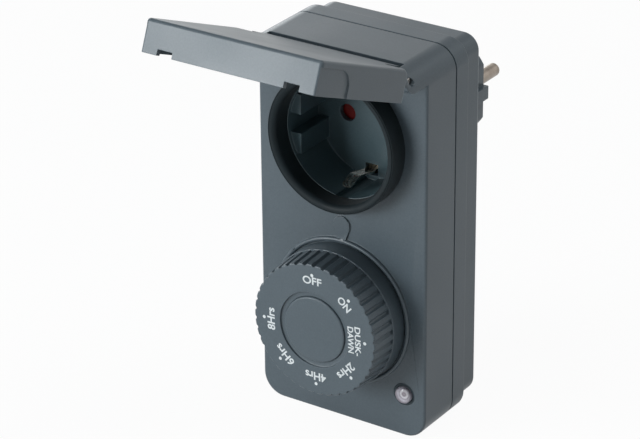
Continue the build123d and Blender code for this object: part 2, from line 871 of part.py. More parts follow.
with BuildPart() as line_out_strap:
    with BuildSketch(front_plane(carrier_back - strip_thickness)):
        patch(-board_strap_x, -pin_x, socket_z - strap_width / 2, socket_z + strap_width / 2)
        patch(
            -board_strap_x - strap_width,
            -board_strap_x,
            board_strap_z,
            socket_z + strap_width / 2,
        )
        with Locations((-pin_x, socket_z)):
            Circle(sleeve_radius, mode=Mode.SUBTRACT)
    extrude(amount=strip_thickness)
    with BuildSketch(front_plane(carrier_back - strip_thickness)):
        patch(
            -board_strap_x - strap_width,
            -board_strap_x,
            board_strap_z,
            board_strap_z + strip_thickness,
        )
    extrude(amount=board_back - carrier_back + strip_thickness)
save(line_out_strap.part, "line_out_strap")

with BuildPart() as neutral_board_strap:
    with BuildSketch(front_plane(carrier_back - strip_thickness)):
        patch(pin_x, board_strap_x, socket_z - strap_width / 2, socket_z + strap_width / 2)
        patch(
            board_strap_x,
            board_strap_x + strap_width,
            board_strap_z,
            socket_z + strap_width / 2,
        )
        with Locations((pin_x, socket_z)):
            Circle(sleeve_radius, mode=Mode.SUBTRACT)
    extrude(amount=strip_thickness)
    with BuildSketch(front_plane(carrier_back - strip_thickness)):
        patch(
            board_strap_x,
            board_strap_x + strap_width,
            board_strap_z,
            board_strap_z + strip_thickness,
        )
    extrude(amount=board_back - carrier_back + strip_thickness)
save(neutral_board_strap.part, "neutral_board_strap")

# ---- circuit board and its screws ----
with BuildPart() as circuit_board:
    with BuildSketch(front_plane(board_back)):
        patch(-board_half, board_half, board_bottom, board_top)
        with Locations(*board_points):
            Circle(board_screw_hole_radius, mode=Mode.SUBTRACT)
    extrude(amount=board_thickness)
save(circuit_board.part, "circuit_board")

with BuildPart() as board_screws:
    with BuildSketch(front_plane(board_back)):
        with Locations(*board_points):
            Circle(board_screw_radius)
    extrude(amount=board_screw_length)
    with BuildSketch(front_plane(board_back - board_screw_head_height)):
        with Locations(*board_points):
            Circle(board_screw_head_radius)
    extrude(amount=board_screw_head_height)
save(board_screws.part, "board_screws")

# ---- components on the back of the board ----
with BuildPart() as relay:
    with BuildSketch(front_plane(board_back - relay_height)):
        with Locations((relay_x, board_bottom + relay_above_bottom)):
            Rectangle(relay_width, relay_length)
    extrude(amount=relay_height)
save(relay.part, "relay")

with BuildPart() as drop_capacitor:
    with BuildSketch(front_plane(board_back - capacitor_height)):
        with Locations((capacitor_x, board_bottom + capacitor_above_bottom)):
            Rectangle(capacitor_width, capacitor_length)
    extrude(amount=capacitor_height)
save(drop_capacitor.part, "drop_capacitor")

with BuildPart() as smoothing_capacitor:
    with BuildSketch(front_plane(board_back - smoother_height)):
        with Locations((smoother_x, board_top - smoother_below_top)):
            Circle(smoother_radius)
    extrude(amount=smoother_height)
save(smoothing_capacitor.part, "smoothing_capacitor")

varistor_height = board_back - varistor_rise - varistor_radius
varistor_z = board_top - varistor_below_top

with BuildPart() as varistor:
    with BuildSketch(side_plane(varistor_x)):
        with Locations((varistor_height, varistor_z)):
            Circle(varistor_radius)
    extrude(amount=varistor_thickness / 2, both=True)
    with BuildSketch(front_plane(varistor_height)):
        with Locations(
            (varistor_x, varistor_z - varistor_lead_offset),
            (varistor_x, varistor_z + varistor_lead_offset),
        ):
            Circle(varistor_lead_radius)
    extrude(amount=board_back - varistor_height)
save(varistor.part, "varistor")

fuse_height = board_back - fuse_rise - fuse_radius
fuse_z = board_top - fuse_below_top
fuse_reach = fuse_length / 2 + fuse_lead_overhang

with BuildPart() as fuse:
    with BuildSketch(side_plane(fuse_x)):
        with Locations((fuse_height, fuse_z)):
            Circle(fuse_radius)
    extrude(amount=fuse_length / 2, both=True)
    with BuildSketch(Plane.XY.offset(fuse_z)):
        with BuildLine():
            Polyline(
                (fuse_x - fuse_reach, -board_back),
                (fuse_x - fuse_reach, -fuse_height),
                (fuse_x + fuse_reach, -fuse_height),
                (fuse_x + fuse_reach, -board_back),
            )
        trace(line_width=2 * fuse_lead_radius)
    extrude(amount=fuse_lead_radius, both=True)
save(fuse.part, "fuse")

# ---- components on the front of the board ----
with BuildPart() as controller_chip:
    with BuildSketch(front_plane(board_front)):
        with Locations((chip_x, board_top - chip_below_top)):
            Rectangle(chip_width, chip_length)
    extrude(amount=chip_height)
save(controller_chip.part, "controller_chip")

with BuildPart() as rectifier:
    with BuildSketch(front_plane(board_front)):
        with Locations((rectifier_x, board_top - rectifier_below_top)):
            Rectangle(rectifier_width, rectifier_width)
    extrude(amount=rectifier_height)
save(rectifier.part, "rectifier")

with BuildPart() as resistors:
    with BuildSketch(Plane.XY.offset(board_top - resistor_below_top - resistor_length)):
        with Locations((resistor_x, -board_front - resistor_radius)):
            with GridLocations(resistor_pitch, resistor_pitch, resistor_count, 1):
                Circle(resistor_radius)
    extrude(amount=resistor_length)
save(resistors.part, "resistors")

with BuildPart() as photocell:
    with BuildSketch(front_plane(board_front + photocell_rise)):
        with Locations((lens_x, lens_z)):
            Circle(photocell_radius)
    extrude(amount=photocell_thickness)
    with BuildSketch(front_plane(board_front)):
        with Locations(
            (lens_x - photocell_lead_offset, lens_z),
            (lens_x + photocell_lead_offset, lens_z),
        ):
            Circle(photocell_lead_radius)
    extrude(amount=photocell_rise)
save(photocell.part, "photocell")

# ---- rotary switch: housing, cover, rotor with notches, detent leaf, shaft ----
with BuildPart() as switch_base:
    with BuildSketch(front_plane(board_front)):
        with Locations((0, dial_z)):
            Rectangle(switch_width, switch_width)
    extrude(amount=switch_height)
    with BuildSketch(front_plane(board_front + switch_floor)):
        with Locations((0, dial_z)):
            Circle(switch_bore_radius)
    extrude(amount=switch_height, mode=Mode.SUBTRACT)
save(switch_base.part, "switch_base")

with BuildPart() as switch_cover:
    with BuildSketch(front_plane(switch_front)):
        with Locations((0, dial_z)):
            Rectangle(switch_width, switch_width)
    extrude(amount=switch_cover_thickness)
    with BuildSketch(front_plane(cover_front)):
        with Locations((0, dial_z)):
            Circle(switch_bush_radius)
    extrude(amount=switch_bush_height)
    with BuildSketch(front_plane(switch_front)):
        with Locations((0, dial_z)):
            Circle(shaft_radius + running_fit)
    extrude(amount=switch_cover_thickness + switch_bush_height, mode=Mode.SUBTRACT)
save(switch_cover.part, "switch_cover")

with BuildPart() as switch_rotor:
    with BuildSketch(front_plane(rotor_back)):
        with Locations((0, dial_z)):
            Circle(rotor_radius)
            with PolarLocations(rotor_radius + rotor_notch_radius - rotor_notch_depth, detent_count):
                Circle(rotor_notch_radius, mode=Mode.SUBTRACT)
            Circle(shaft_radius, mode=Mode.SUBTRACT)
    extrude(amount=rotor_thickness)
save(switch_rotor.part, "switch_rotor")

detent_middle = rotor_back + rotor_thickness / 2
detent_tip = rotor_radius + detent_tip_gap

with BuildPart() as detent_spring:
    with BuildSketch(front_plane(detent_middle)):
        with BuildLine():
            Polyline(
                (-detent_leaf_half, dial_z + sqrt(switch_bore_radius**2 - detent_leaf_half**2)),
                (0, dial_z + detent_tip + detent_leaf_thickness / 2),
                (detent_leaf_half, dial_z + sqrt(switch_bore_radius**2 - detent_leaf_half**2)),
            )
        trace(line_width=detent_leaf_thickness)
        with Locations((0, dial_z)):
            Circle(switch_bore_radius, mode=Mode.INTERSECT)
    extrude(amount=detent_leaf_width / 2, both=True)
save(detent_spring.part, "detent_spring")

shaft_back = rotor_back
pilot_depth = knob_screw_length - knob_screw_floor

with BuildPart() as dial_shaft:
    with BuildSketch(front_plane(shaft_back)):
        with Locations((0, dial_z)):
            Circle(shaft_radius)
    extrude(amount=knob_base + knob_hub_setback - shaft_back)
    with BuildSketch(front_plane(knob_base + knob_hub_setback)):
        d_shape(shaft_radius, shaft_flat)
    extrude(amount=shaft_top - knob_base - knob_hub_setback)
    with BuildSketch(front_plane(shaft_top)):
        with Locations((0, dial_z)):
            Circle(knob_screw_radius)
    extrude(amount=-pilot_depth, mode=Mode.SUBTRACT)
save(dial_shaft.part, "dial_shaft")

with BuildPart() as shaft_seal:
    with BuildSketch(turning_plane(0, dial_z)):
        with Locations((seal_ring_radius, seal_groove_back + seal_groove_depth - seal_section_radius)):
            Circle(seal_section_radius)
    revolve(axis=turning_axis(0, dial_z))
save(shaft_seal.part, "shaft_seal")

# ---- dial knob with its ribs, cap and screw ----
knob_band_top = knob_base + knob_band_height
crest_radius = knob_radius - knob_crest_step
crest_height = knob_front - knob_band_top
hub_base = knob_base + knob_hub_setback
groove_centre = crest_radius - rib_groove_depth + rib_groove_radius
groove_slope = (crest_radius - knob_front_radius) / crest_height
groove_length = 2 * crest_height


def groove_plane(index):
    """Plane at the foot of one rib groove, its normal along the cone's side."""
    turn = radians(360 * index / rib_count)
    foot = (groove_centre * sin(turn), -knob_band_top, dial_z + groove_centre * cos(turn))
    return Plane(origin=foot, z_dir=(-groove_slope * sin(turn), -1, -groove_slope * cos(turn)))


with BuildPart() as dial_knob:
    with BuildSketch(turning_plane(0, dial_z)) as knob_section:
        Polygon(
            (0, knob_base),
            (knob_radius, knob_base),
            (knob_radius, knob_band_top),
            (crest_radius, knob_band_top),
            (knob_front_radius, knob_front),
            (0, knob_front),
            align=None,
        )
        knob_corner = knob_section.vertices().group_by(Axis.Y)[-1].sort_by(Axis.X)[-1]
        fillet(knob_corner, knob_edge_radius)
        Polygon(
            (knob_hub_radius, knob_base),
            (knob_radius - knob_wall, knob_base),
            (knob_radius - knob_wall, knob_band_top - knob_wall),
            (knob_front_radius - rib_groove_depth - knob_wall, knob_front - knob_wall),
            (cap_groove_radius, knob_front - knob_wall),
            (cap_groove_radius, cap_seat - knob_wall),
            (knob_hub_radius, cap_seat - knob_wall),
            align=None,
            mode=Mode.SUBTRACT,
        )
        patch(0, knob_hub_radius, knob_base, hub_base, Mode.SUBTRACT)
        patch(0, cap_groove_radius, knob_front - cap_groove_depth, knob_front, Mode.SUBTRACT)
        patch(0, cap_radius + cap_clearance, cap_seat, knob_front, Mode.SUBTRACT)
        patch(0, knob_screw_sink_radius, screw_sink, cap_seat, Mode.SUBTRACT)
        patch(0, knob_screw_radius + insert_fit, shaft_top, screw_sink, Mode.SUBTRACT)
    revolve(axis=turning_axis(0, dial_z))
    with BuildSketch(*[groove_plane(index) for index in range(rib_count)]):
        Circle(rib_groove_radius)
    extrude(amount=groove_length, mode=Mode.SUBTRACT)
    with BuildSketch(front_plane(hub_base)):
        d_shape(shaft_radius + pin_fit, shaft_flat + pin_fit)
    extrude(amount=shaft_top - hub_base, mode=Mode.SUBTRACT)
save(dial_knob.part, "dial_knob")

with BuildPart() as knob_cap:
    with BuildSketch(front_plane(cap_seat)):
        with Locations((0, dial_z)):
            Circle(cap_radius)
    extrude(amount=cap_thickness)
    fillet(knob_cap.faces().sort_by(Axis.Y)[0].edges(), cap_edge_radius)
save(knob_cap.part, "knob_cap")

with BuildPart() as knob_screw:
    with BuildSketch(turning_plane(0, dial_z)):
        patch(0, knob_screw_head_radius, screw_sink, screw_sink + knob_screw_head_height)
        patch(0, knob_screw_radius - running_fit, screw_sink - knob_screw_length, screw_sink)
    revolve(axis=turning_axis(0, dial_z))
save(knob_screw.part, "knob_screw")

# ---- sensor lens and its gasket ----
lens_front = face + lens_rise
lens_back = front_floor - lens_flange_thickness

with BuildPart() as sensor_lens:
    with BuildSketch(turning_plane(lens_x, lens_z)) as lens_section:
        patch(0, lens_radius, lens_back, lens_front)
        lens_corner = lens_section.vertices().group_by(Axis.Y)[-1].sort_by(Axis.X)[-1]
        fillet(lens_corner, lens_dome_radius)
        patch(0, lens_flange_radius, lens_back, front_floor)
        patch(0, lens_radius - lens_wall, lens_back, lens_front - lens_wall, Mode.SUBTRACT)
    revolve(axis=turning_axis(lens_x, lens_z))
save(sensor_lens.part, "sensor_lens")

with BuildPart() as lens_gasket:
    with BuildSketch(front_plane(face - lens_sink_depth)):
        with Locations((lens_x, lens_z)):
            Circle(lens_sink_radius)
            Circle(lens_radius, mode=Mode.SUBTRACT)
    extrude(amount=lens_sink_depth - lens_gasket_setback)
save(lens_gasket.part, "lens_gasket")
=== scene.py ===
"""Visible pieces, finishes and studio of an outdoor plug-in timer switch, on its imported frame.

Lengths are in millimetres, and MM turns them to metres for Blender. Places are given across and
up from the plug's axis, and heights in front of the plug's face.
"""

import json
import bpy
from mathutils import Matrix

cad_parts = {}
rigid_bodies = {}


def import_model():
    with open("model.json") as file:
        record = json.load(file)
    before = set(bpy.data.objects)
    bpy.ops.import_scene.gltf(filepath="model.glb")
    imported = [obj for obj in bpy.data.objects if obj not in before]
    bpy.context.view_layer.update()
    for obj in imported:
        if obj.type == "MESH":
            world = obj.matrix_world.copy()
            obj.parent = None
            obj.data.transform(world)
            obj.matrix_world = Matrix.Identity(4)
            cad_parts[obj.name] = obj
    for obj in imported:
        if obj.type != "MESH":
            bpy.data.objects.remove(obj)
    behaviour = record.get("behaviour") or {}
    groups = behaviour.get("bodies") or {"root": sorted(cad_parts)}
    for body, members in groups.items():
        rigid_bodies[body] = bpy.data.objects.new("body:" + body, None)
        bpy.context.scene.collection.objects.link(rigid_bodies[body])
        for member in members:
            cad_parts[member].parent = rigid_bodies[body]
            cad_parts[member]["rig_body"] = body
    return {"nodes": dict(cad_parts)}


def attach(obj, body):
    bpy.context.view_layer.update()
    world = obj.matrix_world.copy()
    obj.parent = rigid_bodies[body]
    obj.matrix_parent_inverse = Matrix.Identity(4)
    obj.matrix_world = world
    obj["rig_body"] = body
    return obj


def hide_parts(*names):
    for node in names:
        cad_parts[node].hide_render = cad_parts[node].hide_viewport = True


bl_info = {
    "name": "Plug-in timer switch",
    "version": (1, 0, 0),
    "blender": (4, 5, 0),
    "location": "3D View > Sidebar > Timer switch",
    "description": "Builds the visible pieces, finishes and studio of an outdoor timer switch",
    "category": "Object",
}

from math import cos, inf, pi, radians, sin, sqrt

import bmesh
import bpy
from mathutils import Matrix, Vector

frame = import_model()

MM = 0.001
# Points closer than this, in metres, count as one.
TOUCH = 0.001 * MM

SOCKET_UP = 2.5
DIAL_UP = -61.4
HINGE_UP = 32.0
CASE_LOW = -102.5
PIN_ACROSS = 9.5
LENS_PLACE = (24.7, -86.6)
SCREW_POINTS = [(side * 24.5, up) for up in (-94.0, 27.0) for side in (-1, 1)]
BOARD_POINTS = [(side * 25, up) for side in (-1, 1) for up in (-67.29, -29.01)]

BACK_PLATE = 27.0
REAR_STEP = 38.0
FACE = 63.6
HINGE_HEIGHT = FACE + 7.6
KNOB_FRONT = 81.0

# A Mix node's sockets when it blends colours.
MIX_SHARE, MIX_FIRST, MIX_SECOND, MIX_RESULT = 0, 6, 7, 2
# Noise mostly keeps to this middle of its range.
NOISE_RANGE = {"From Min": 0.3, "From Max": 0.7}
WHITE = {"Color": (1, 1, 1, 1)}
PIGMENT = {"size": 3, "min": 0, "max": 1, "subtype": "COLOR"}


def linear(code):
    """The shader's linear colour for a colour written as sRGB hex."""
    channels = [int(code[i : i + 2], 16) / 255 for i in (0, 2, 4)]
    return tuple(c / 12.92 if c <= 0.04045 else ((c + 0.055) / 1.055) ** 2.4 for c in channels)


def shade(colour, share=1.0):
    """A colour, linear or as sRGB hex, made lighter or darker by a share, with full alpha."""
    channels = linear(colour) if isinstance(colour, str) else colour[:3]
    return (*(min(1.0, c * share) for c in channels), 1.0)


class TimerSizes(bpy.types.PropertyGroup):
    """Sizes of the visible pieces that a maker would change."""

    shell_edge: bpy.props.FloatProperty(
        name="Shell edge",
        description="Rounding of the sharp edges of the shells and the lid",
        default=0.00018,
        min=0.00001,
        unit="LENGTH",
    )
    grain: bpy.props.FloatProperty(
        name="Moulded grain",
        description="Size of one pit of the spark-eroded surface",
        default=0.00055,
        min=0.00005,
        unit="LENGTH",
    )
    dot_radius: bpy.props.FloatProperty(
        name="Dot size",
        description="Radius of the dot outside each word",
        default=0.0006,
        min=0.0001,
        unit="LENGTH",
    )
    dot_distance: bpy.props.FloatProperty(
        name="Dot distance",
        description="Distance from the dial's axis to the dots",
        default=0.0202,
        min=0.005,
        unit="LENGTH",
    )
    dial_play: bpy.props.FloatProperty(
        name="Dial play",
        description="How far the printed face stands off its detent",
        default=radians(1.8),
        subtype="ANGLE",
    )


class TimerColours(bpy.types.PropertyGroup):
    """Colours of the finishes that a maker would change."""

    slate: bpy.props.FloatVectorProperty(
        name="Slate plastic",
        description="Pigment of the shells, the lid and the dial",
        default=linear("4D585F"),
        **PIGMENT,
    )
    socket: bpy.props.FloatVectorProperty(
        name="Socket plastic",
        description="Pigment of the socket cup",
        default=linear("43555B"),
        **PIGMENT,
    )
    rubber: bpy.props.FloatVectorProperty(
        name="Soft rubber",
        description="Pigment of the collar and the seals",
        default=linear("121C20"),
        **PIGMENT,
    )
    guard: bpy.props.FloatVectorProperty(
        name="Shutter red",
        description="Pigment of the shutter behind the pin holes",
        default=linear("6E0C06"),
        **PIGMENT,
    )
    print: bpy.props.FloatVectorProperty(
        name="Print white",
        description="Ink of the words and dots on the dial",
        default=linear("DCE0E1"),
        **PIGMENT,
    )


# ---- materials ----


def add_node(tree, kind, values=None, links=None, **settings):
    """One shader node with its settings, its sockets' values and the sockets that feed it."""
    node = tree.nodes.new(kind)
    for key, value in settings.items():
        setattr(node, key, value)
    for key, value in (values or {}).items():
        node.inputs[key].default_value = value
    for key, source in (links or {}).items():
        tree.links.new(source, node.inputs[key])
    return node


def new_finish(name, values):
    """An empty material: its shader with the given constants, and the piece's own coordinates."""
    material = bpy.data.materials.new(name)
    material.use_nodes = True
    tree = material.node_tree
    tree.nodes.clear()
    shader = add_node(tree, "ShaderNodeBsdfPrincipled", values)
    add_node(tree, "ShaderNodeOutputMaterial", links={"Surface": shader.outputs[0]})
    coords = add_node(tree, "ShaderNodeTexCoord").outputs["Object"]
    return material, tree, shader, coords


def mottle(
    tree, shader, coords, size, detail=2, stretch=(1, 1, 1), tones=None, gloss=None, relief=None
):
    """Blotches about this many millimetres across, drawn out along an axis of small stretch.

    They blend two tones, half and half with any tones laid before, move the roughness between
    the two values of gloss, and stand out as relief of so many millimetres."""
    placed = add_node(tree, "ShaderNodeMapping", {"Scale": stretch}, {"Vector": coords})
    pattern = add_node(
        tree,
        "ShaderNodeTexNoise",
        {"Scale": 1 / (size * MM), "Detail": detail},
        {"Vector": placed.outputs[0]},
    ).outputs[0]
    if tones:
        blend = {"data_type": "RGBA"}
        fixed = {MIX_FIRST: tones[0], MIX_SECOND: tones[1]}
        share = add_node(tree, "ShaderNodeMapRange", NOISE_RANGE, {"Value": pattern}).outputs[0]
        tone = add_node(tree, "ShaderNodeMix", fixed, {MIX_SHARE: share}, **blend)
        base = shader.inputs["Base Color"]
        if base.is_linked:
            layers = {MIX_FIRST: base.links[0].from_socket, MIX_SECOND: tone.outputs[MIX_RESULT]}
            tone = add_node(tree, "ShaderNodeMix", {MIX_SHARE: 0.5}, layers, **blend)
        tree.links.new(tone.outputs[MIX_RESULT], base)
    if gloss:
        ends = {**NOISE_RANGE, "To Min": gloss[0], "To Max": gloss[1]}
        rough = add_node(tree, "ShaderNodeMapRange", ends, {"Value": pattern})
        tree.links.new(rough.outputs[0], shader.inputs["Roughness"])
    if relief:
        bump = add_node(tree, "ShaderNodeBump", {"Distance": relief * MM}, {"Height": pattern})
        tree.links.new(bump.outputs[0], shader.inputs["Normal"])
    return pattern


def set_stops(ramp, stops):
    """The ramp's colours at their shares of the way, from the first to the last."""
    elements = ramp.color_ramp.elements
    for element, (place, colour) in zip(elements, (stops[0], stops[-1])):
        element.position = place
        element.color = shade(colour)
    for place, colour in stops[1:-1]:
        elements.new(place).color = shade(colour)


def moulded_plastic(name, colour, roughness, grain, depth, specular=0.4):
    """Moulded plastic: eroded grain breaks the sheen into specks, on a faintly cloudy pigment.

    The grain is drawn coarser than a real one, so that it shows."""
    material, *base = new_finish(name, {"Specular IOR Level": specular})
    mottle(*base, 14, 3, tones=(shade(colour, 0.95), shade(colour, 1.05)))
    mottle(*base, grain, tones=(shade(colour, 0.86), shade(colour, 1.14)), relief=depth)
    mottle(*base, 30, 4, gloss=(roughness - 0.04, roughness + 0.05))
    return material


def soft_rubber(name, colour):
    """Soft elastomer: dead matte skin with a dusty bloom and shallow pores."""
    bloom = {"Sheen Weight": 0.05, "Sheen Roughness": 0.5}
    material, *base = new_finish(name, {"Specular IOR Level": 0.16, **bloom})
    mottle(*base, 6, 4, tones=(shade(colour, 0.85), shade(colour, 1.25)), gloss=(0.5, 0.62))
    mottle(*base, 0.4, relief=0.01)
    return material


def worked_metal(name, colour, roughness, tarnish, stretch):
    """Bare or plated metal: drawing marks along the strip, and a thin uneven tarnish."""
    material, *base = new_finish(name, {"Metallic": 1.0})
    mottle(*base, 1.6, 3, stretch, gloss=(roughness - 0.06, roughness + 0.1), relief=0.004)
    mottle(*base, 4, 4, tones=(shade(colour), shade(tarnish)))
    return material


def glossy_case(name, colour, roughness, cloud=0.08, peel=1.2, depth=0.004):
    """Glossy component skin: a clean case or dip coat with orange peel and uneven pigment."""
    material, *base = new_finish(name, {"Coat Weight": 0.25, "Coat Roughness": 0.15})
    tones = (shade(colour, 1 - cloud), shade(colour, 1 + cloud))
    mottle(*base, 5, 3, tones=tones, gloss=(roughness - 0.05, roughness + 0.05))
    mottle(*base, peel, relief=depth)
    return material


def banded_lacquer(name, ground, bands, low, high):
    """Lacquered body with colour rings: they start and end at shares of its height."""
    material, tree, shader, coords = new_finish(name, {})
    along = add_node(tree, "ShaderNodeSeparateXYZ", links={0: coords}).outputs["Z"]
    ends = {"From Min": low * MM, "From Max": high * MM}
    share = add_node(tree, "ShaderNodeMapRange", ends, {"Value": along}).outputs[0]
    ramp = add_node(tree, "ShaderNodeValToRGB", links={0: share})
    ramp.color_ramp.interpolation = "CONSTANT"
    rings = [stop for start, end, ring in bands for stop in ((start, ring), (end, ground))]
    set_stops(ramp, [(0.0, ground), *rings])
    tree.links.new(ramp.outputs[0], shader.inputs["Base Color"])
    mottle(tree, shader, coords, 1.5, gloss=(0.28, 0.4), relief=0.02)
    return material


def board_laminate(name, mask, copper):
    """Glass laminate: solder mask over faint copper runs and the weave of the glass.

    The weave is drawn coarser than a real one, so that it shows."""
    mask_coat = {"Coat Weight": 0.3, "Coat Roughness": 0.2, "Roughness": 0.32}
    material, tree, shader, coords = new_finish(name, mask_coat)
    runs = add_node(
        tree,
        "ShaderNodeTexWave",
        {"Scale": 1 / (9 * MM), "Distortion": 1.2, "Detail": 0},
        {"Vector": coords},
        bands_direction="Z",
    ).outputs[1]
    steep = {"From Min": 0.55, "From Max": 0.6}
    edge = add_node(tree, "ShaderNodeMapRange", steep, {"Value": runs}).outputs[0]
    layers = {MIX_FIRST: shade(mask, 0.8), MIX_SECOND: shade(copper)}
    green = add_node(tree, "ShaderNodeMix", layers, {MIX_SHARE: edge}, data_type="RGBA")
    tree.links.new(green.outputs[MIX_RESULT], shader.inputs["Base Color"])
    cloth = {"Scale": 1 / (2 * MM), "Mortar Size": 0.04}
    weave = add_node(tree, "ShaderNodeTexBrick", cloth, {"Vector": coords}).outputs[1]
    depth = {"Strength": 0.6, "Distance": 0.01 * MM}
    bump = add_node(tree, "ShaderNodeBump", depth, {"Height": weave})
    tree.links.new(bump.outputs[0], shader.inputs["Normal"])
    return material


def smoked_lens(name, rings, reach, centre):
    """Smoked diffusing plastic: light goes some way in, and its seat shows as pale rings.

    The rings lie round one spot across and up, at shares of their reach in mm. A darker last colour
    is painted shade at the lens's rim, heavier on the side away from the spot."""
    window = {"Transmission Weight": 0.25, "IOR": 1.49}
    window |= {"Coat Weight": 0.5, "Coat Roughness": 0.05}
    material, tree, shader, coords = new_finish(name, window)
    across, up = centre
    centred = {"Location": (-across * MM, 0, -up * MM), "Scale": (1, 0, 1)}
    flat = add_node(tree, "ShaderNodeMapping", centred, {"Vector": coords}).outputs[0]
    radius = add_node(tree, "ShaderNodeVectorMath", links={0: flat}, operation="LENGTH").outputs[1]
    ends = {"From Max": reach * MM}
    share = add_node(tree, "ShaderNodeMapRange", ends, {"Value": radius}).outputs[0]
    ramp = add_node(tree, "ShaderNodeValToRGB", links={0: share})
    set_stops(ramp, rings)
    haze = mottle(tree, shader, coords, 0.8, 3, gloss=(0.12, 0.25), relief=0.01)
    thin = {**NOISE_RANGE, "To Max": 0.35}
    veil = add_node(tree, "ShaderNodeMapRange", thin, {"Value": haze}).outputs[0]
    cloudy = add_node(
        tree,
        "ShaderNodeMix",
        {MIX_SECOND: shade("8E8690")},
        {MIX_SHARE: veil, MIX_FIRST: ramp.outputs[0]},
        data_type="RGBA",
    )
    tree.links.new(cloudy.outputs[MIX_RESULT], shader.inputs["Base Color"])
    return material


def pad_print(name, colour):
    """Pad-printed ink: opaque, a little thin in places, flatter than the plastic below."""
    material, *base = new_finish(name, {"Specular IOR Level": 0.3, "Roughness": 0.55})
    mottle(*base, 0.8, 3, tones=(shade(colour, 0.88), shade(colour)), relief=0.004)
    return material


def seen_rays(tree):
    """One for the camera's rays, and one for those and the rays off a gloss or through glass."""
    rays = add_node(tree, "ShaderNodeLightPath").outputs
    camera = seen = rays["Is Camera Ray"]
    for kind in ("Is Glossy Ray", "Is Transmission Ray"):
        either = {0: seen, 1: rays[kind]}
        seen = add_node(tree, "ShaderNodeMath", links=either, operation="MAXIMUM").outputs[0]
    return camera, seen


def studio_paper(name):
    """Studio paper: dull, and hardly clouded by its fibres.

    It glows for the camera, which sees it nearly white, and less for a gloss or glass."""
    material, tree, shader, coords = new_finish(name, {"Roughness": 0.9})
    fibres = {"Scale": 1 / (3 * MM), "Detail": 3}
    cloud = add_node(tree, "ShaderNodeTexNoise", fibres, {"Vector": coords}).outputs[0]
    tones = {MIX_FIRST: shade("F0F1F2", 0.98), MIX_SECOND: shade("F6F7F7")}
    white = add_node(tree, "ShaderNodeMix", tones, {MIX_SHARE: cloud}, data_type="RGBA")
    tree.links.new(white.outputs[MIX_RESULT], shader.inputs["Base Color"])
    surface = shader.outputs[0].links[0].to_socket
    glow = add_node(tree, "ShaderNodeEmission", WHITE)
    camera, seen = seen_rays(tree)
    more = add_node(tree, "ShaderNodeMath", {1: 0.3}, {0: camera}, operation="MULTIPLY")
    sums = {0: seen, 2: more.outputs[0]}
    share = add_node(tree, "ShaderNodeMath", {1: 0.65}, sums, operation="MULTIPLY_ADD")
    layers = {0: share.outputs[0], 1: shader.outputs[0], 2: glow.outputs[0]}
    both = add_node(tree, "ShaderNodeMixShader", links=layers)
    tree.links.new(both.outputs[0], surface)
    return material


# Rings in the lens, round a spot beside its middle: shares of the way out, and colours. The pale
# rings are its seat. The darker last colour is painted shade at the rim, which the spot's offset
# puts at the lower left.
RING_AND_SHADE_SPOT = (LENS_PLACE[0] + 0.9, LENS_PLACE[1] + 1.0)
LENS_RINGS_AND_SHADE = [
    (0.0, "B2A7AF"),
    (0.22, "A59AA3"),
    (0.33, "FBF7FC"),
    (0.46, "FBF7FC"),
    (0.56, "B8B0BC"),
    (0.68, "DAD4DF"),
    (0.86, "D8D2DD"),
    (1.0, "948C98"),
]
# Colour rings of a resistor: where each starts and ends on its body, and its colour.
RESISTOR_BANDS = [
    (0.14, 0.24, "7A3B14"),
    (0.34, 0.43, "161616"),
    (0.52, 0.61, "C8201C"),
    (0.76, 0.84, "B78A2C"),
]


def make_finishes(sizes, colours):
    """Every finish by the slot of the record that it serves.

    Plastics give roughness, then grain and its depth in mm. Metals give roughness and tarnish."""
    slate, socket, grain = colours.slate, colours.socket, sizes.grain / MM
    along, across = (1, 0.08, 1), (0.08, 1, 1)
    return {
        "housing_plastic": moulded_plastic("slate_housing_plastic", slate, 0.36, grain, 0.01, 0.45),
        "lid_plastic": moulded_plastic("slate_lid_plastic", slate, 0.34, grain, 0.008, 0.45),
        "knob_plastic": moulded_plastic("slate_dial_plastic", slate, 0.36, grain, 0.01, 0.45),
        "socket_plastic": moulded_plastic("dark_socket_plastic", socket, 0.36, grain, 0.006),
        "soft_rubber": soft_rubber("black_soft_rubber", colours.rubber),
        "shutter_plastic": moulded_plastic("red_guard_plastic", colours.guard, 0.35, 0.5, 0.004),
        "nickel_plate": worked_metal("nickel_plated_brass", "A99E93", 0.22, "857B71", along),
        "contact_brass": worked_metal("rolled_contact_brass", "D7B066", 0.3, "B58C4A", along),
        "zinc_steel": worked_metal("zinc_plated_steel", "B9BCC2", 0.34, "9EA6B4", along),
        "stainless_steel": worked_metal("drawn_stainless_steel", "B4B2AE", 0.28, "9C9A97", across),
        "carrier_plastic": moulded_plastic("cream_thermoset", "D8D4C6", 0.42, 0.7, 0.006),
        "lens_plastic": smoked_lens("smoked_lens_plastic", LENS_RINGS_AND_SHADE, 3.2, RING_AND_SHADE_SPOT),
        "board_laminate": board_laminate("green_glass_laminate", "1E5A35", "3B7B45"),
        "relay_case": glossy_case("blue_relay_case", "204A8C", 0.35),
        "capacitor_case": glossy_case("yellow_film_capacitor", "C79A25", 0.38),
        "capacitor_sleeve": glossy_case("black_shrink_sleeve", "15161B", 0.3),
        "varistor_coat": glossy_case("blue_epoxy_dip", "1C4FA0", 0.25, 0.1, 2.0, 0.02),
        "fuse_body": glossy_case("tan_fuse_ceramic", "A78F6B", 0.4),
        "chip_resin": moulded_plastic("black_chip_resin", "1A1B1D", 0.55, 0.3, 0.006),
        "resistor_body": banded_lacquer(
            "banded_resistor_lacquer", "C5AF84", RESISTOR_BANDS, low=-38.0, high=-32.0
        ),
        "photocell_body": glossy_case("orange_photocell_ceramic", "C7783A", 0.3),
        "switch_plastic": moulded_plastic("natural_acetal", "DEDCD4", 0.4, 0.6, 0.005),
    }


# ---- tools for the pieces ----


def clear_selection():
    """Nothing selected, in object mode."""
    if bpy.context.object and bpy.context.object.mode != "OBJECT":
        bpy.ops.object.mode_set(mode="OBJECT")
    bpy.ops.object.select_all(action="DESELECT")


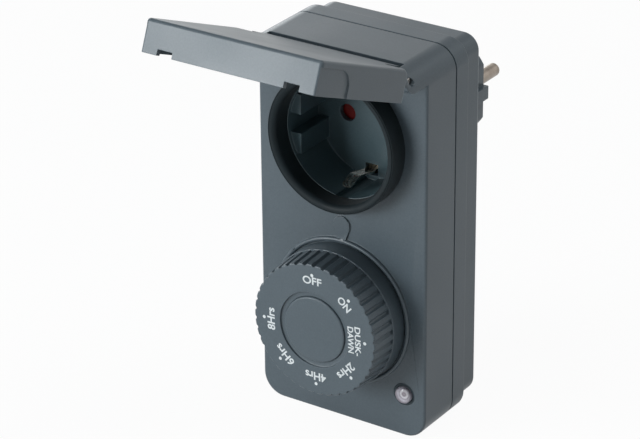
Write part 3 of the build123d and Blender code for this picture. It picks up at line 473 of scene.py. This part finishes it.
def pick(piece):
    """Only this piece selected and active."""
    clear_selection()
    piece.select_set(True)
    bpy.context.view_layer.objects.active = piece


def edit_all(piece):
    """This piece in edit mode with everything selected."""
    pick(piece)
    bpy.ops.object.mode_set(mode="EDIT")
    bpy.ops.mesh.select_mode(type="EDGE")
    bpy.ops.mesh.select_all(action="SELECT")


def select_spots(piece, test):
    """In edit mode, only the points that pass the test are selected."""
    mesh = bmesh.from_edit_mesh(piece.data)
    bpy.ops.mesh.select_mode(type="VERT")
    bpy.ops.mesh.select_all(action="DESELECT")
    for vertex in mesh.verts:
        vertex.select = test(vertex)
    mesh.select_flush_mode()
    bmesh.update_edit_mesh(piece.data)


def apply_modifier(piece, kind, **settings):
    """A modifier with its settings, applied at once."""
    pick(piece)
    modifier = piece.modifiers.new(kind.lower(), kind)
    for key, value in settings.items():
        setattr(modifier, key, value)
    bpy.ops.object.modifier_apply(modifier=modifier.name)


def way_of(line):
    """The way an edge runs."""
    return (line.verts[1].co - line.verts[0].co).normalized()


def round_edges(piece, width):
    """Sharp edges rounded by so many mm, as a mould or a deburring drum leaves them.

    An edge stays sharp where an edge across its end is too short for the rounding."""
    sharp, room, parallel = radians(38), 1.6 * width * MM, 0.9
    mesh = bmesh.new()
    mesh.from_mesh(piece.data)
    weights = mesh.edges.layers.float.new("bevel_weight_edge")
    for line in mesh.edges:
        if len(line.link_faces) != 2 or line.calc_face_angle() < sharp:
            continue
        beside = [
            other.calc_length()
            for corner in line.verts
            for other in corner.link_edges
            if other != line and abs(way_of(other).dot(way_of(line))) < parallel
        ]
        if min(beside, default=inf) > room:
            line[weights] = 1
    mesh.to_mesh(piece.data)
    mesh.free()
    limits = {"limit_method": "WEIGHT", "use_clamp_overlap": False}
    apply_modifier(piece, "BEVEL", width=width * MM, segments=2, **limits)


def smooth_faces(piece, angle=30):
    """Curved faces shaded smooth, flat faces kept flat up to their edges."""
    pick(piece)
    bpy.ops.object.shade_smooth_by_angle(angle=radians(angle))
    apply_modifier(piece, "WEIGHTED_NORMAL", keep_sharp=True, weight=80)


def face_outward():
    """In edit mode, every face turned outward, and then object mode."""
    bpy.ops.mesh.select_all(action="SELECT")
    bpy.ops.mesh.normals_make_consistent(inside=False)
    bpy.ops.object.mode_set(mode="OBJECT")


def close_skin(piece):
    """Doubles merged, open ends filled and normals outward."""
    edit_all(piece)
    bpy.ops.mesh.remove_doubles(threshold=TOUCH / 2)
    bpy.ops.mesh.fill_holes(sides=0)
    face_outward()


def paint(piece, finish):
    """The piece in one finish alone."""
    piece.data.materials.clear()
    piece.data.materials.append(bpy.data.materials[finish])


def set_down(piece, node, slot_name, finish=None):
    """The piece rides with the node it stands for, in the finish of its slot or in another."""
    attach(piece, frame["nodes"][node]["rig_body"])
    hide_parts(node)
    paint(piece, finish or FINISH_NAMES[slot_name])


def at_height(vertex, height):
    """Whether a point is at this height."""
    return abs(vertex.co.y + height * MM) < TOUCH


def refill_flat(piece, height):
    """A flat at this height filled anew round its holes."""
    edit_all(piece)
    select_spots(piece, lambda v: at_height(v, height))
    bpy.ops.mesh.select_mode(type="FACE")
    bpy.ops.mesh.delete(type="FACE")
    bpy.ops.mesh.select_mode(type="EDGE")
    bpy.ops.mesh.select_non_manifold(extend=False)
    bpy.ops.mesh.fill()
    face_outward()
    smooth_faces(piece)


def round_outline(piece, height, rounding):
    """In edit mode, the edges at this height within reach of the outer walls rounded."""
    mesh, reach = bmesh.from_edit_mesh(piece.data), 2 * MM
    side = max(v.co.x for v in mesh.verts) - reach
    top = max(v.co.z for v in mesh.verts) - reach
    low = min(v.co.z for v in mesh.verts) + reach
    select_spots(
        piece,
        lambda v: at_height(v, height) and (abs(v.co.x) > side or v.co.z > top or v.co.z < low),
    )
    bpy.ops.mesh.select_mode(type="EDGE")
    bpy.ops.mesh.bevel(offset=rounding * MM, segments=4, affect="EDGES")


def dressed_copy(node, name, slot_name, edge, finish=None, smooth=30, crease=None):
    """A node's shape welded, its flats cleaned, its sharp edges rounded and its curves smooth.

    A crease gives the height of an outer edge with a rounding of its own, and that rounding."""
    piece = bpy.data.objects.new(name, frame["nodes"][node].data.copy())
    bpy.context.scene.collection.objects.link(piece)
    edit_all(piece)
    bpy.ops.mesh.remove_doubles(threshold=TOUCH)
    bpy.ops.mesh.dissolve_limited(angle_limit=radians(0.3))
    bpy.ops.mesh.vert_connect_concave()
    if crease:
        round_outline(piece, *crease)
    bpy.ops.object.mode_set(mode="OBJECT")
    if edge:
        round_edges(piece, edge)
        edit_all(piece)
        bpy.ops.mesh.vert_connect_concave()
        bpy.ops.mesh.quads_convert_to_tris(quad_method="BEAUTY", ngon_method="BEAUTY")
        bpy.ops.mesh.beautify_fill(angle_limit=radians(0.5))
        bpy.ops.object.mode_set(mode="OBJECT")
    smooth_faces(piece, smooth)
    set_down(piece, node, slot_name, finish)
    return piece


def mirrored(half, middle):
    """A strip's heights and ups, and the same below the middle in the opposite order."""
    return [(h, middle + u) for h, u in half] + [(h, middle - u) for h, u in reversed(half)]


def part_point(across, height, up):
    """A place in metres, from its across, height and up."""
    return Vector((across, -height, up)) * MM


def turn_about(across, up, angle):
    """A turn about an axis that faces the user."""
    middle = Matrix.Translation(part_point(across, 0, up))
    return middle @ Matrix.Rotation(angle, 4, "Y") @ middle.inverted()


def arc(radius, height, rounding, start, steps, step):
    """Radii and heights on an arc round one spot, from an angle in degrees in even steps."""
    turns = [radians(start + count * step) for count in range(steps + 1)]
    return [(radius + rounding * cos(turn), height + rounding * sin(turn)) for turn in turns]


def turned_piece(name, across, up, profile, steps):
    """A round piece that faces the user: a ring extruded along radii and heights."""
    clear_selection()
    radius, height = profile[0]
    place, upright = part_point(across, height, up), (pi / 2, 0, 0)
    bpy.ops.mesh.primitive_circle_add(
        vertices=steps, radius=radius * MM, location=place, rotation=upright
    )
    piece = bpy.context.object
    piece.name = name
    bpy.ops.object.transform_apply()
    edit_all(piece)
    for next_radius, next_height in profile[1:]:
        place, share = part_point(across, next_height, up), next_radius / radius
        way = (0, (height - next_height) * MM, 0)
        bpy.ops.mesh.extrude_region_move(TRANSFORM_OT_translate={"value": way})
        bpy.ops.transform.resize(value=(share, 1, share), center_override=place)
        radius, height = next_radius, next_height
    bpy.ops.object.mode_set(mode="OBJECT")
    close_skin(piece)
    return piece


def point_piece(name, place):
    """A piece of one point, in edit mode, ready to be extruded."""
    clear_selection()
    bpy.ops.mesh.primitive_plane_add(size=MM)
    piece = bpy.context.object
    piece.name = name
    edit_all(piece)
    bpy.ops.mesh.select_mode(type="VERT")
    bpy.ops.mesh.select_all(action="SELECT")
    bpy.ops.mesh.merge(type="CENTER")
    bpy.ops.transform.translate(value=place)
    return piece


def extrude_along(places):
    """What is selected in edit mode, extruded from place to place."""
    for start, end in zip(places, places[1:]):
        bpy.ops.mesh.extrude_region_move(TRANSFORM_OT_translate={"value": end - start})


def spun_slice(name, up, profile, steps, angle):
    """A slice of a round piece that faces the user: its radii and heights, spun by an angle."""
    places = [part_point(radius, height, up) for radius, height in profile]
    piece = point_piece(name, places[0])
    extrude_along(places)
    bpy.ops.mesh.select_all(action="SELECT")
    bpy.ops.mesh.spin(steps=steps, angle=angle, center=part_point(0, 0, up), axis=(0, 1, 0))
    return piece


def bent_strip(name, across, points, width, thickness, bend, tip):
    """Sheet strip: an edge extruded through heights and ups, rounded at its bends and tips."""

    def beside(spots):
        return lambda v: any(abs((v.co - p).y) + abs((v.co - p).z) < TOUCH for p in spots)

    places = [part_point(across - width / 2, height, up) for height, up in points]
    piece = point_piece(name, places[0])
    bpy.ops.mesh.extrude_region_move(TRANSFORM_OT_translate={"value": (width * MM, 0, 0)})
    bpy.ops.mesh.select_mode(type="EDGE")
    bpy.ops.mesh.select_all(action="SELECT")
    extrude_along(places)
    select_spots(piece, beside(places[1:-1]))
    bpy.ops.mesh.bevel(offset=bend * MM, segments=5, affect="EDGES")
    select_spots(piece, beside((places[0], places[-1])))
    bpy.ops.mesh.bevel(offset=tip * MM, segments=4, affect="VERTICES")
    bpy.ops.object.mode_set(mode="OBJECT")
    apply_modifier(piece, "SOLIDIFY", thickness=thickness * MM, offset=0, use_even_offset=True)
    close_skin(piece)
    burr = 0.12 * thickness * MM
    apply_modifier(piece, "BEVEL", width=burr, segments=2, angle_limit=radians(60))
    smooth_faces(piece, 40)
    return piece


def cross_screw(name, place, seat, way, head, shank, length):
    """Pan-head screw: its head stands this way off the seat, and its thread goes the other."""
    radius, rise = head
    crown = [(0.05, 1.0), (0.55, 0.98), (0.8, 0.86), (0.94, 0.62), (0.99, 0.3), (0.99, 0)]
    profile = [(radius * r, seat + way * rise * h) for r, h in crown]
    root, pitch, plain = 0.8 * shank, 0.75 * shank, 0.6 * shank
    profile += [(root, seat), (root, seat - way * plain)]
    for turn in range(int((length - 2.2 * pitch) / pitch)):
        for width, share in ((shank, 0.42), (shank, 0.52), (root, 0.94)):
            profile.append((width, seat - way * (plain + (turn + share) * pitch)))
    profile.append((0.12 * shank, seat - way * length))
    piece = turned_piece(name, *place, profile, 40)
    cut_cross(piece, place, seat, way * rise, radius)
    smooth_faces(piece, 35)
    return piece


def cut_cross(piece, place, seat, rise, radius):
    """A cross recess sunk into a screw's head by two blades at right angles."""
    across, up = place
    clear_selection()
    bpy.ops.mesh.primitive_cube_add(size=1, location=part_point(across, seat + rise, up))
    blade = bpy.context.object
    bpy.ops.transform.resize(value=(1.15 * radius * MM, 1.2 * abs(rise) * MM, 0.28 * radius * MM))
    bpy.ops.object.transform_apply()
    blades = copy_to(blade, [turn_about(across, up, pi / 2)])
    for cutter in blades:
        apply_modifier(piece, "BOOLEAN", object=cutter, operation="DIFFERENCE", solver="EXACT")
    for cutter in blades:
        pick(cutter)
        bpy.ops.object.delete()


def join_pieces(name, pieces):
    """Several pieces made one."""
    clear_selection()
    for piece in pieces:
        piece.select_set(True)
    bpy.context.view_layer.objects.active = pieces[0]
    bpy.ops.object.join()
    pieces[0].name = name
    return pieces[0]


def copy_to(piece, moves):
    """The piece and copies of it, each with its own mesh, one for each move."""
    copies = [piece]
    for move in moves:
        twin = piece.copy()
        twin.data = piece.data.copy()
        bpy.context.scene.collection.objects.link(twin)
        twin.data.transform(move)
        copies.append(twin)
    return copies


# The finish that serves each slot, filled in by the first step.
FINISH_NAMES = {}


class TIMER_OT_finishes(bpy.types.Operator):
    """Make every finish of the timer switch"""

    bl_idname = "timer.finishes"
    bl_label = "Finishes"

    def execute(self, context):
        sizes, colours = context.scene.timer_sizes, context.scene.timer_colours
        for slot_name, material in make_finishes(sizes, colours).items():
            FINISH_NAMES[slot_name] = material.name
        pad_print("white_pad_print", colours.print)
        # The lens's seal is a paler rubber. The clips get a brighter copy of the nickel, a painted
        # highlight that stands in for their glints inside the cup.
        soft_rubber("grey_soft_rubber", shade(colours.slate, 0.55))
        worked_metal("painted_glint_nickel", "F4EEE4", 0.22, "D2C8BB", (1, 0.3, 1))
        return {"FINISHED"}


class TIMER_OT_shells(bpy.types.Operator):
    """Front and rear shell and the gasket between them"""

    bl_idname = "timer.shells"
    bl_label = "Shells"

    def execute(self, context):
        edge = context.scene.timer_sizes.shell_edge / MM
        dressed_copy("front_housing", "front_shell", "housing_plastic", edge)
        back = dressed_copy(
            "rear_housing", "rear_shell", "housing_plastic", edge, crease=(REAR_STEP, 0.5)
        )
        refill_flat(back, BACK_PLATE)
        dressed_copy("housing_gasket", "shell_gasket", "soft_rubber", 0.1)
        return {"FINISHED"}


class TIMER_OT_lid(bpy.types.Operator):
    """Flip-up lid with its seal and hinge pin"""

    bl_idname = "timer.lid"
    bl_label = "Lid"

    def execute(self, context):
        edge = context.scene.timer_sizes.shell_edge / MM
        dressed_copy("lid_cover", "lid_shell", "lid_plastic", edge)
        dressed_copy("lid_seal", "lid_ring_seal", "soft_rubber", 0.3)
        half, rounding = 30.6, ((0.1, 0.15), (0.5, 0), (0.95, 0), (1.2, 0.12), (1.3, 0.4))
        end = [(radius, half - drop) for radius, drop in rounding]
        profile = [(r, -h) for r, h in end] + [(r, h) for r, h in reversed(end)]
        rod = turned_piece("hinge_rod", 0, 0, profile, 40)
        hinge = Matrix.Translation(part_point(0, HINGE_HEIGHT, HINGE_UP))
        rod.data.transform(hinge @ Matrix.Rotation(pi / 2, 4, "Z"))
        smooth_faces(rod, 40)
        set_down(rod, "hinge_pin", "stainless_steel")
        return {"FINISHED"}


class TIMER_OT_socket(bpy.types.Operator):
    """Socket cup, collar, shutter with its spring, and the carrier behind"""

    bl_idname = "timer.socket"
    bl_label = "Socket"

    def execute(self, context):
        dressed_copy("socket_insert", "socket_cup", "socket_plastic", 0.25)
        self.shape_collar()
        for row in (
            ("shutter", "pin_hole_shutter", "shutter_plastic", 0.15),
            ("shutter_spring", "shutter_coil_spring", "stainless_steel", 0.12),
            ("contact_carrier", "contact_block", "carrier_plastic", 0.2),
        ):
            dressed_copy(*row)
        return {"FINISHED"}

    def shape_collar(self):
        """Soft ring with a rounded lip into the socket and a small ridge round its front."""
        inner, outer, lip, front = 21.7, 24.7, 1.9, FACE + 7.3
        bore = arc(inner + lip, front - lip, lip, 180, 8, -11.25)
        ridge = [(24.05, 0), (24.15, 0.22), (24.28, 0.25), (24.36, 0.1), (24.52, 0.12)]
        land = [(r, front - drop) for r, drop in (*ridge, (24.64, 0.3), (outer, 0.55))]
        profile = [(inner, FACE), *bore, *land, (outer, FACE), (inner, FACE)]
        collar = turned_piece("socket_soft_collar", 0, SOCKET_UP, profile, 128)
        smooth_faces(collar, 40)
        set_down(collar, "socket_collar", "soft_rubber")


class TIMER_OT_contacts(bpy.types.Operator):
    """Plug pins, earth clips, contact sleeves and straps"""

    bl_idname = "timer.contacts"
    bl_label = "Contacts"

    def execute(self, context):
        self.shape_pin("line", -PIN_ACROSS)
        self.shape_pin("neutral", PIN_ACROSS)
        for node in ("line_contact", "neutral_contact"):
            dressed_copy(node, node + "_sleeve", "contact_brass", 0.1, smooth=40)
        for node in ("line_out_strap", "neutral_board_strap"):
            dressed_copy(node, node + "_strip", "contact_brass", 0.12)
        tail = [(30.1, -1.4), (30.1, -26), (48.0, -26)]
        for node, across, points in (
            ("earth_strap", 0, [(15.0, -5), (15.0, 0), (30.7, 0), (30.7, 5)]),
            ("neutral_strap", PIN_ACROSS, [(9.4, -1.4), (9.4, 2.5), (25.5, 2.5), (25.5, 5.5)]),
            ("line_in_strap", -PIN_ACROSS, [(9.4, 1.4), (9.4, -1.4), *tail]),
        ):
            strip = bent_strip(node + "_strip", across, points, 4.0, 0.8, bend=0.5, tip=0.5)
            set_down(strip, node, "contact_brass")
        half = [(61.2, 19.0), (56.1, 16.5), (47.6, 18.4), (31.4, 18.4)]
        points = mirrored(half, SOCKET_UP)
        clips = bent_strip("socket_earth_clips", 0, points, 4.0, 0.6, bend=1.5, tip=1.7)
        # The clips wear the brighter nickel: a painted highlight for their glints.
        set_down(clips, "socket_earth_bracket", "nickel_plate", "painted_glint_nickel")
        points = mirrored([(1.0, 16.5), (6.5, 17.7), (14.2, 16.5)], 0)
        clips = bent_strip("plug_earth_clips", 0, points, 5.0, 0.8, bend=0.9, tip=0.9)
        set_down(clips, "plug_earth_bracket", "nickel_plate")
        return {"FINISHED"}

    def shape_pin(self, pole, across):
        """A plug pin with a rounded tip, and a collar that holds it in the rear shell."""
        radius, tip, end, root, flange, back = 2.4, 1.2, -19.0, 2.8, 3.4, 9.0
        nose = [(0.1, end), *arc(radius - tip, end + tip, tip, -90, 6, 15), (radius, -0.05)]
        foot = [(root, 0.0), (root, 4.0), (flange, 4.0), (flange, 5.2), (root, 5.2)]
        profile = [*nose, *foot, (root, back), (0.1, back)]
        pin = turned_piece(pole + "_plug_pin", across, 0, profile, 64)
        smooth_faces(pin, 40)
        set_down(pin, pole + "_pin", "nickel_plate")


class TIMER_OT_dial(bpy.types.Operator):
    """Ribbed dial, its cap and shaft, and the switch that it turns"""

    bl_idname = "timer.dial"
    bl_label = "Dial"

    def execute(self, context):
        dial = self.shape_dial()
        smooth_faces(dial, 35)
        set_down(dial, "dial_knob", "knob_plastic")
        for row in (
            ("knob_cap", "dial_cap", "knob_plastic", 0.1),
            ("switch_base", "switch_tub", "switch_plastic", 0.15),
            ("switch_cover", "switch_lid", "switch_plastic", 0.15),
            ("switch_rotor", "switch_cam", "switch_plastic", 0.15),
            ("dial_shaft", "dial_spindle", "switch_plastic", 0.15),
            ("detent_spring", "detent_leaf", "stainless_steel", 0.05),
        ):
            dressed_copy(*row)
        dressed_copy("shaft_seal", "spindle_ring", "soft_rubber", 0, smooth=60)
        return {"FINISHED"}

    def shape_dial(self):
        """One rib with its share of the dial's walls, copied all the way round."""
        ribs, steps = 42, 16
        share = 2 * pi / ribs
        ribbed, profile = self.dial_profile()
        dial = spun_slice("ribbed_dial", DIAL_UP, profile, steps, share)
        for radius, height, crest in ribbed:
            self.sink_groove(dial, radius, height, crest, steps, share / steps)
        bpy.ops.object.mode_set(mode="OBJECT")
        turns = [turn_about(0, DIAL_UP, index * share) for index in range(1, ribs)]
        dial = join_pieces("ribbed_dial", copy_to(dial, turns))
        close_skin(dial)
        return dial

    def dial_profile(self):
        """The ribbed wall's radii, heights and rib crests, and the dial's whole profile."""
        low, sill, foot, front, wall = 64.0, 64.8, 70.7, KNOB_FRONT, 24.7
        ribbed = [(wall, foot + 0.04), (24.53, foot + 2.9), *arc(23.62, front - 0.5, 0.5, 0, 5, 18)]
        skirt = [(24.8, low), (24.94, 64.06), (25.0, 64.2)]
        skirt += [(25.0, foot - 0.3), (24.96, foot - 0.13), (24.85, foot)]
        face = [(23.1, front), (14.0, front), (13.82, front - 0.05), (13.72, front - 0.2)]
        recess = [(13.7, 80.35), (13.6, 80.3), (12.1, 80.3), (12.05, 80.2), (12.05, 78.4)]
        well = [(3.2, 78.4), (3.2, 76.4), (1.28, 76.4), (1.28, 75.0), (3.03, 75.0), (3.03, sill)]
        inside = [(6.5, sill), (6.5, 76.6), (13.7, 76.6), (13.7, 79.2), (21.6, 79.2), (23.2, 68.9)]
        profile = [*skirt, *ribbed, *face, *recess, *well, *inside, (23.2, low), (24.8, low)]
        taper = 0.6 / (front - foot)
        return [(r, h, wall - taper * (h - foot)) for r, h in ribbed], profile

    def sink_groove(self, dial, radius, height, crest, steps, step):
        """In edit mode, one ring of the slice pushed in at its sides, by half a groove each."""
        groove, lift = 0.8, 0.1
        for column in range(-3, 4):
            depth = sqrt(groove**2 - (crest * column * step) ** 2) - lift
            inset = radius - min(radius, crest - depth)
            if inset < 0.001:
                continue
            for side in (-1, 1):
                turn = side * (steps / 2 + column) * step
                way = Vector((cos(turn), 0, sin(turn)))
                spot = part_point(0, height, DIAL_UP) + way * radius * MM
                select_spots(dial, lambda v: (v.co - spot).length < 2 * TOUCH)
                if any(v.select for v in bmesh.from_edit_mesh(dial.data).verts):
                    bpy.ops.transform.translate(value=-way * inset * MM)


# Half the thickness of the print.
HALF_INK = 0.03
# For each stop of the dial: its angle, and its lines with their radius, cap height and length.
LEGENDS = (
    (90, (("OFF", 18.2, 2.85, 7.5),)),
    (45, (("ON", 17.7, 2.85, 5.6),)),
    (0, (("DUSK-", 17.45, 2.3, 10.7), ("DAWN", 14.65, 2.3, 9.7))),
    (-45, (("2Hrs", 17.4, 3.1, 8.2),)),
    (-90, (("4Hrs", 17.4, 3.1, 8.3),)),
    (-135, (("6Hrs", 17.4, 3.1, 8.3),)),
    (180, (("8Hrs", 17.4, 3.1, 8.3),)),
)


class TIMER_OT_legends(bpy.types.Operator):
    """Words and dots printed on the dial"""

    bl_idname = "timer.legends"
    bl_label = "Dial legends"

    def execute(self, context):
        sizes = context.scene.timer_sizes
        front = Matrix.Translation(part_point(0, KNOB_FRONT, DIAL_UP))
        face = front @ Matrix.Rotation(pi / 2, 4, "X")
        pieces = []
        for angle, lines in LEGENDS:
            turn = radians(angle) + sizes.dial_play
            for words, *place in lines:
                pieces.append(self.print_line(words, *place, turn, face))
            pieces.append(self.print_dot(sizes, turn, face))
        legend = join_pieces("dial_legends", pieces)
        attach(legend, "dial")
        paint(legend, "white_pad_print")
        return {"FINISHED"}

    def print_line(self, words, radius, height, length, turn, face):
        """One line of type as a thin mesh of this cap height and length, its tops outward."""
        clear_selection()
        bpy.ops.object.text_add()
        text = bpy.context.object.data
        text.body = words
        text.size = 4 * MM
        text.extrude = HALF_INK * MM
        text.offset = 0.09 * MM
        text.resolution_u = 5
        bpy.ops.object.convert(target="MESH")
        line = bpy.context.object
        xs = [v.co.x for v in line.data.vertices]
        ys = [v.co.y for v in line.data.vertices]
        wide, tall = max(xs) - min(xs), max(ys) - min(ys)
        middle = Vector(((min(xs) + max(xs)) / 2, (min(ys) + max(ys)) / 2, 0))
        line.data.transform(
            face
            @ Matrix.Rotation(turn - pi / 2, 4, "Z")
            @ Matrix.Translation((0, radius * MM, 0))
            @ Matrix.Diagonal((length * MM / wide, height * MM / tall, 1, 1))
            @ Matrix.Translation(-middle)
        )
        return line

    def print_dot(self, sizes, turn, face):
        """One round dot of ink."""
        clear_selection()
        thickness = 2 * HALF_INK * MM
        bpy.ops.mesh.primitive_cylinder_add(vertices=20, radius=sizes.dot_radius, depth=thickness)
        dot = bpy.context.object
        round_edges(dot, 0.01)
        place = Vector((cos(turn), sin(turn), 0)) * sizes.dot_distance
        dot.data.transform(face @ Matrix.Translation(place))
        return dot


class TIMER_OT_lens(bpy.types.Operator):
    """Domed sensor lens with its seal and photocell"""

    bl_idname = "timer.lens"
    bl_label = "Sensor lens"

    def execute(self, context):
        flange = [(4.0, 60.2), (4.0, 61.2), (3.1, 61.2), (3.1, 64.0)]
        dome = [(3.03, 64.45), (2.8, 64.82), (2.4, 65.05), (1.9, 65.15), (1.0, 65.19), (0.2, 65.2)]
        lens = turned_piece("sensor_window", *LENS_PLACE, [*flange, *dome], 64)
        smooth_faces(lens, 50)
        set_down(lens, "sensor_lens", "lens_plastic")
        dressed_copy("lens_gasket", "window_seal", "soft_rubber", 0.1, "grey_soft_rubber")
        dressed_copy("photocell", "light_cell", "photocell_body", 0.1)
        return {"FINISHED"}


class TIMER_OT_fasteners(bpy.types.Operator):
    """Screws of the shells, the board and the dial"""

    bl_idname = "timer.fasteners"
    bl_label = "Fasteners"

    def execute(self, context):
        # Height of the seat, way, radius and height of the head, and radius and length below it.
        for node, places, *sizes in (
            ("housing_screws", SCREW_POINTS, 35.0, -1, (2.7, 1.9), 1.5, 20.0),
            ("board_screws", BOARD_POINTS, 48.0, -1, (2.0, 1.4), 1.0, 7.0),
            ("knob_screw", [(0, DIAL_UP)], 76.4, 1, (2.8, 1.8), 1.25, 8.0),
        ):
            first = cross_screw(node + "_set", places[0], *sizes)
            start = part_point(places[0][0], 0, places[0][1])
            moves = [Matrix.Translation(part_point(x, 0, up) - start) for x, up in places[1:]]
            screws = join_pieces(node + "_set", copy_to(first, moves))
            set_down(screws, node, "zinc_steel")
        return {"FINISHED"}


class TIMER_OT_board(bpy.types.Operator):
    """Circuit board and the components on it"""

    bl_idname = "timer.board"
    bl_label = "Circuit board"

    def execute(self, context):
        for row in (
            ("circuit_board", "green_board", "board_laminate", 0.05),
            ("relay", "relay_case_body", "relay_case", 0.5),
            ("drop_capacitor", "film_capacitor", "capacitor_case", 0.5),
            ("smoothing_capacitor", "sleeved_capacitor", "capacitor_sleeve", 0.5),
            ("varistor", "dipped_varistor", "varistor_coat", 0.8),
            ("fuse", "axial_fuse", "fuse_body", 0.2),
            ("controller_chip", "chip_body", "chip_resin", 0.2),
            ("rectifier", "rectifier_body", "chip_resin", 0.3),
            ("resistors", "resistor_row", "resistor_body", 0.4),
        ):
            dressed_copy(*row)
        return {"FINISHED"}


# Each lamp's degrees round from the part's front and up, and its power in watts.
LAMPS = (
    ("low_key_softbox", -35, 8, 26),
    ("high_front_softbox", -22, 62, 10),
    ("right_front_fill", 15, 30, 1.2),
    ("right_back_rim", 128, 52, 8.5),
    ("left_back_rim", -130, 10, 5),
)


class TIMER_OT_stage(bpy.types.Operator):
    """Floor, lamps, background and camera"""

    bl_idname = "timer.stage"
    bl_label = "Stage"

    def execute(self, context):
        scene = context.scene
        self.lay_floor()
        for lamp in LAMPS:
            self.hang_lamp(*lamp)
        self.light_world(scene)
        self.set_camera(scene)
        scene.view_settings.view_transform = "Standard"
        return {"FINISHED"}

    def lay_floor(self):
        """A wide floor of studio paper just under the case, that keeps the case's shadow."""
        gap = 0.05
        clear_selection()
        bpy.ops.mesh.primitive_plane_add(size=8, location=part_point(0, 0, CASE_LOW - gap))
        floor = bpy.context.object
        floor.name = "pale_floor"
        bpy.ops.object.transform_apply()
        floor.data.materials.append(studio_paper("pale_studio_paper"))

    def hang_lamp(self, name, azimuth, elevation, power):
        """A square softbox, its sizes in metres, that looks at the part from round and up."""
        middle, distance, size = Vector((0, -0.05, -0.02)), 1.7, 0.9
        turn, rise = radians(azimuth), radians(elevation)
        way = Vector((sin(turn) * cos(rise), -cos(turn) * cos(rise), sin(rise)))
        clear_selection()
        bpy.ops.object.light_add(type="AREA", location=middle + way * distance)
        lamp = bpy.context.object
        lamp.name = name
        lamp.data.size = size
        lamp.data.energy = power
        lamp.data.color = (0.94, 0.98, 1)
        lamp.rotation_euler = (-way).to_track_quat("-Z", "Y").to_euler()

    def light_world(self, scene):
        """Faint room light, seen by the camera as white.

        A gloss or glass sees it as white too, below a ceiling that is nearly black."""
        world = bpy.data.worlds.new("pale_studio")
        scene.world = world
        world.use_nodes = True
        tree = world.node_tree
        tree.nodes.clear()
        coords = add_node(tree, "ShaderNodeTexCoord").outputs["Generated"]
        rise = add_node(tree, "ShaderNodeSeparateXYZ", links={0: coords}).outputs["Z"]
        dusk = {"From Min": 0.5, "From Max": 0.8, "To Min": 0.9, "To Max": 0.1}
        ceiling = add_node(tree, "ShaderNodeMapRange", dusk, {"Value": rise}).outputs[0]
        camera, seen = seen_rays(tree)
        either = {0: ceiling, 1: camera}
        white = add_node(tree, "ShaderNodeMath", links=either, operation="MAXIMUM").outputs[0]
        # Sockets 2 and 3 are the numbers that a Mix node blends.
        strength = add_node(tree, "ShaderNodeMix", {2: 0.03}, {0: seen, 3: white}).outputs[0]
        light = add_node(tree, "ShaderNodeBackground", WHITE, {"Strength": strength})
        add_node(tree, "ShaderNodeOutputWorld", links={"Surface": light.outputs[0]})

    def set_camera(self, scene):
        """A long lens that looks down at the part from its right."""
        place = Vector((0.485368, -0.797024, 0.395234))
        yaw, pitch, roll = 0.593, 0.448, -0.009
        bpy.ops.object.camera_add()
        camera = bpy.context.object
        camera.name = "studio_camera"
        camera.matrix_world = (
            Matrix.Translation(place)
            @ Matrix.Rotation(yaw, 4, "Z")
            @ Matrix.Rotation(pi / 2 - pitch, 4, "X")
            @ Matrix.Rotation(roll, 4, "Z")
        )
        camera.data.lens = 164.716
        scene.camera = camera


STEPS = (
    TIMER_OT_finishes,
    TIMER_OT_shells,
    TIMER_OT_lid,
    TIMER_OT_socket,
    TIMER_OT_contacts,
    TIMER_OT_dial,
    TIMER_OT_legends,
    TIMER_OT_lens,
    TIMER_OT_fasteners,
    TIMER_OT_board,
    TIMER_OT_stage,
)


class TIMER_PT_panel(bpy.types.Panel):
    """The steps and values of the timer switch"""

    bl_label = "Timer switch"
    bl_idname = "TIMER_PT_panel"
    bl_space_type = "VIEW_3D"
    bl_region_type = "UI"
    bl_category = "Timer switch"

    def draw(self, context):
        for group in (context.scene.timer_sizes, context.scene.timer_colours):
            box = self.layout.box()
            for key in group.__annotations__:
                box.prop(group, key)
        for step in STEPS:
            self.layout.operator(step.bl_idname)


CLASSES = (TimerSizes, TimerColours, *STEPS, TIMER_PT_panel)


def register():
    for one in CLASSES:
        bpy.utils.register_class(one)
    bpy.types.Scene.timer_sizes = bpy.props.PointerProperty(type=TimerSizes)
    bpy.types.Scene.timer_colours = bpy.props.PointerProperty(type=TimerColours)


def unregister():
    del bpy.types.Scene.timer_colours
    del bpy.types.Scene.timer_sizes
    for one in reversed(CLASSES):
        bpy.utils.unregister_class(one)


def main():
    """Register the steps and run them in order."""
    register()
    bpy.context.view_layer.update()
    bpy.ops.timer.finishes()
    bpy.ops.timer.shells()
    bpy.ops.timer.lid()
    bpy.ops.timer.socket()
    bpy.ops.timer.contacts()
    bpy.ops.timer.dial()
    bpy.ops.timer.legends()
    bpy.ops.timer.lens()
    bpy.ops.timer.fasteners()
    bpy.ops.timer.board()
    bpy.ops.timer.stage()
    clear_selection()


if __name__ == "__main__":
    main()
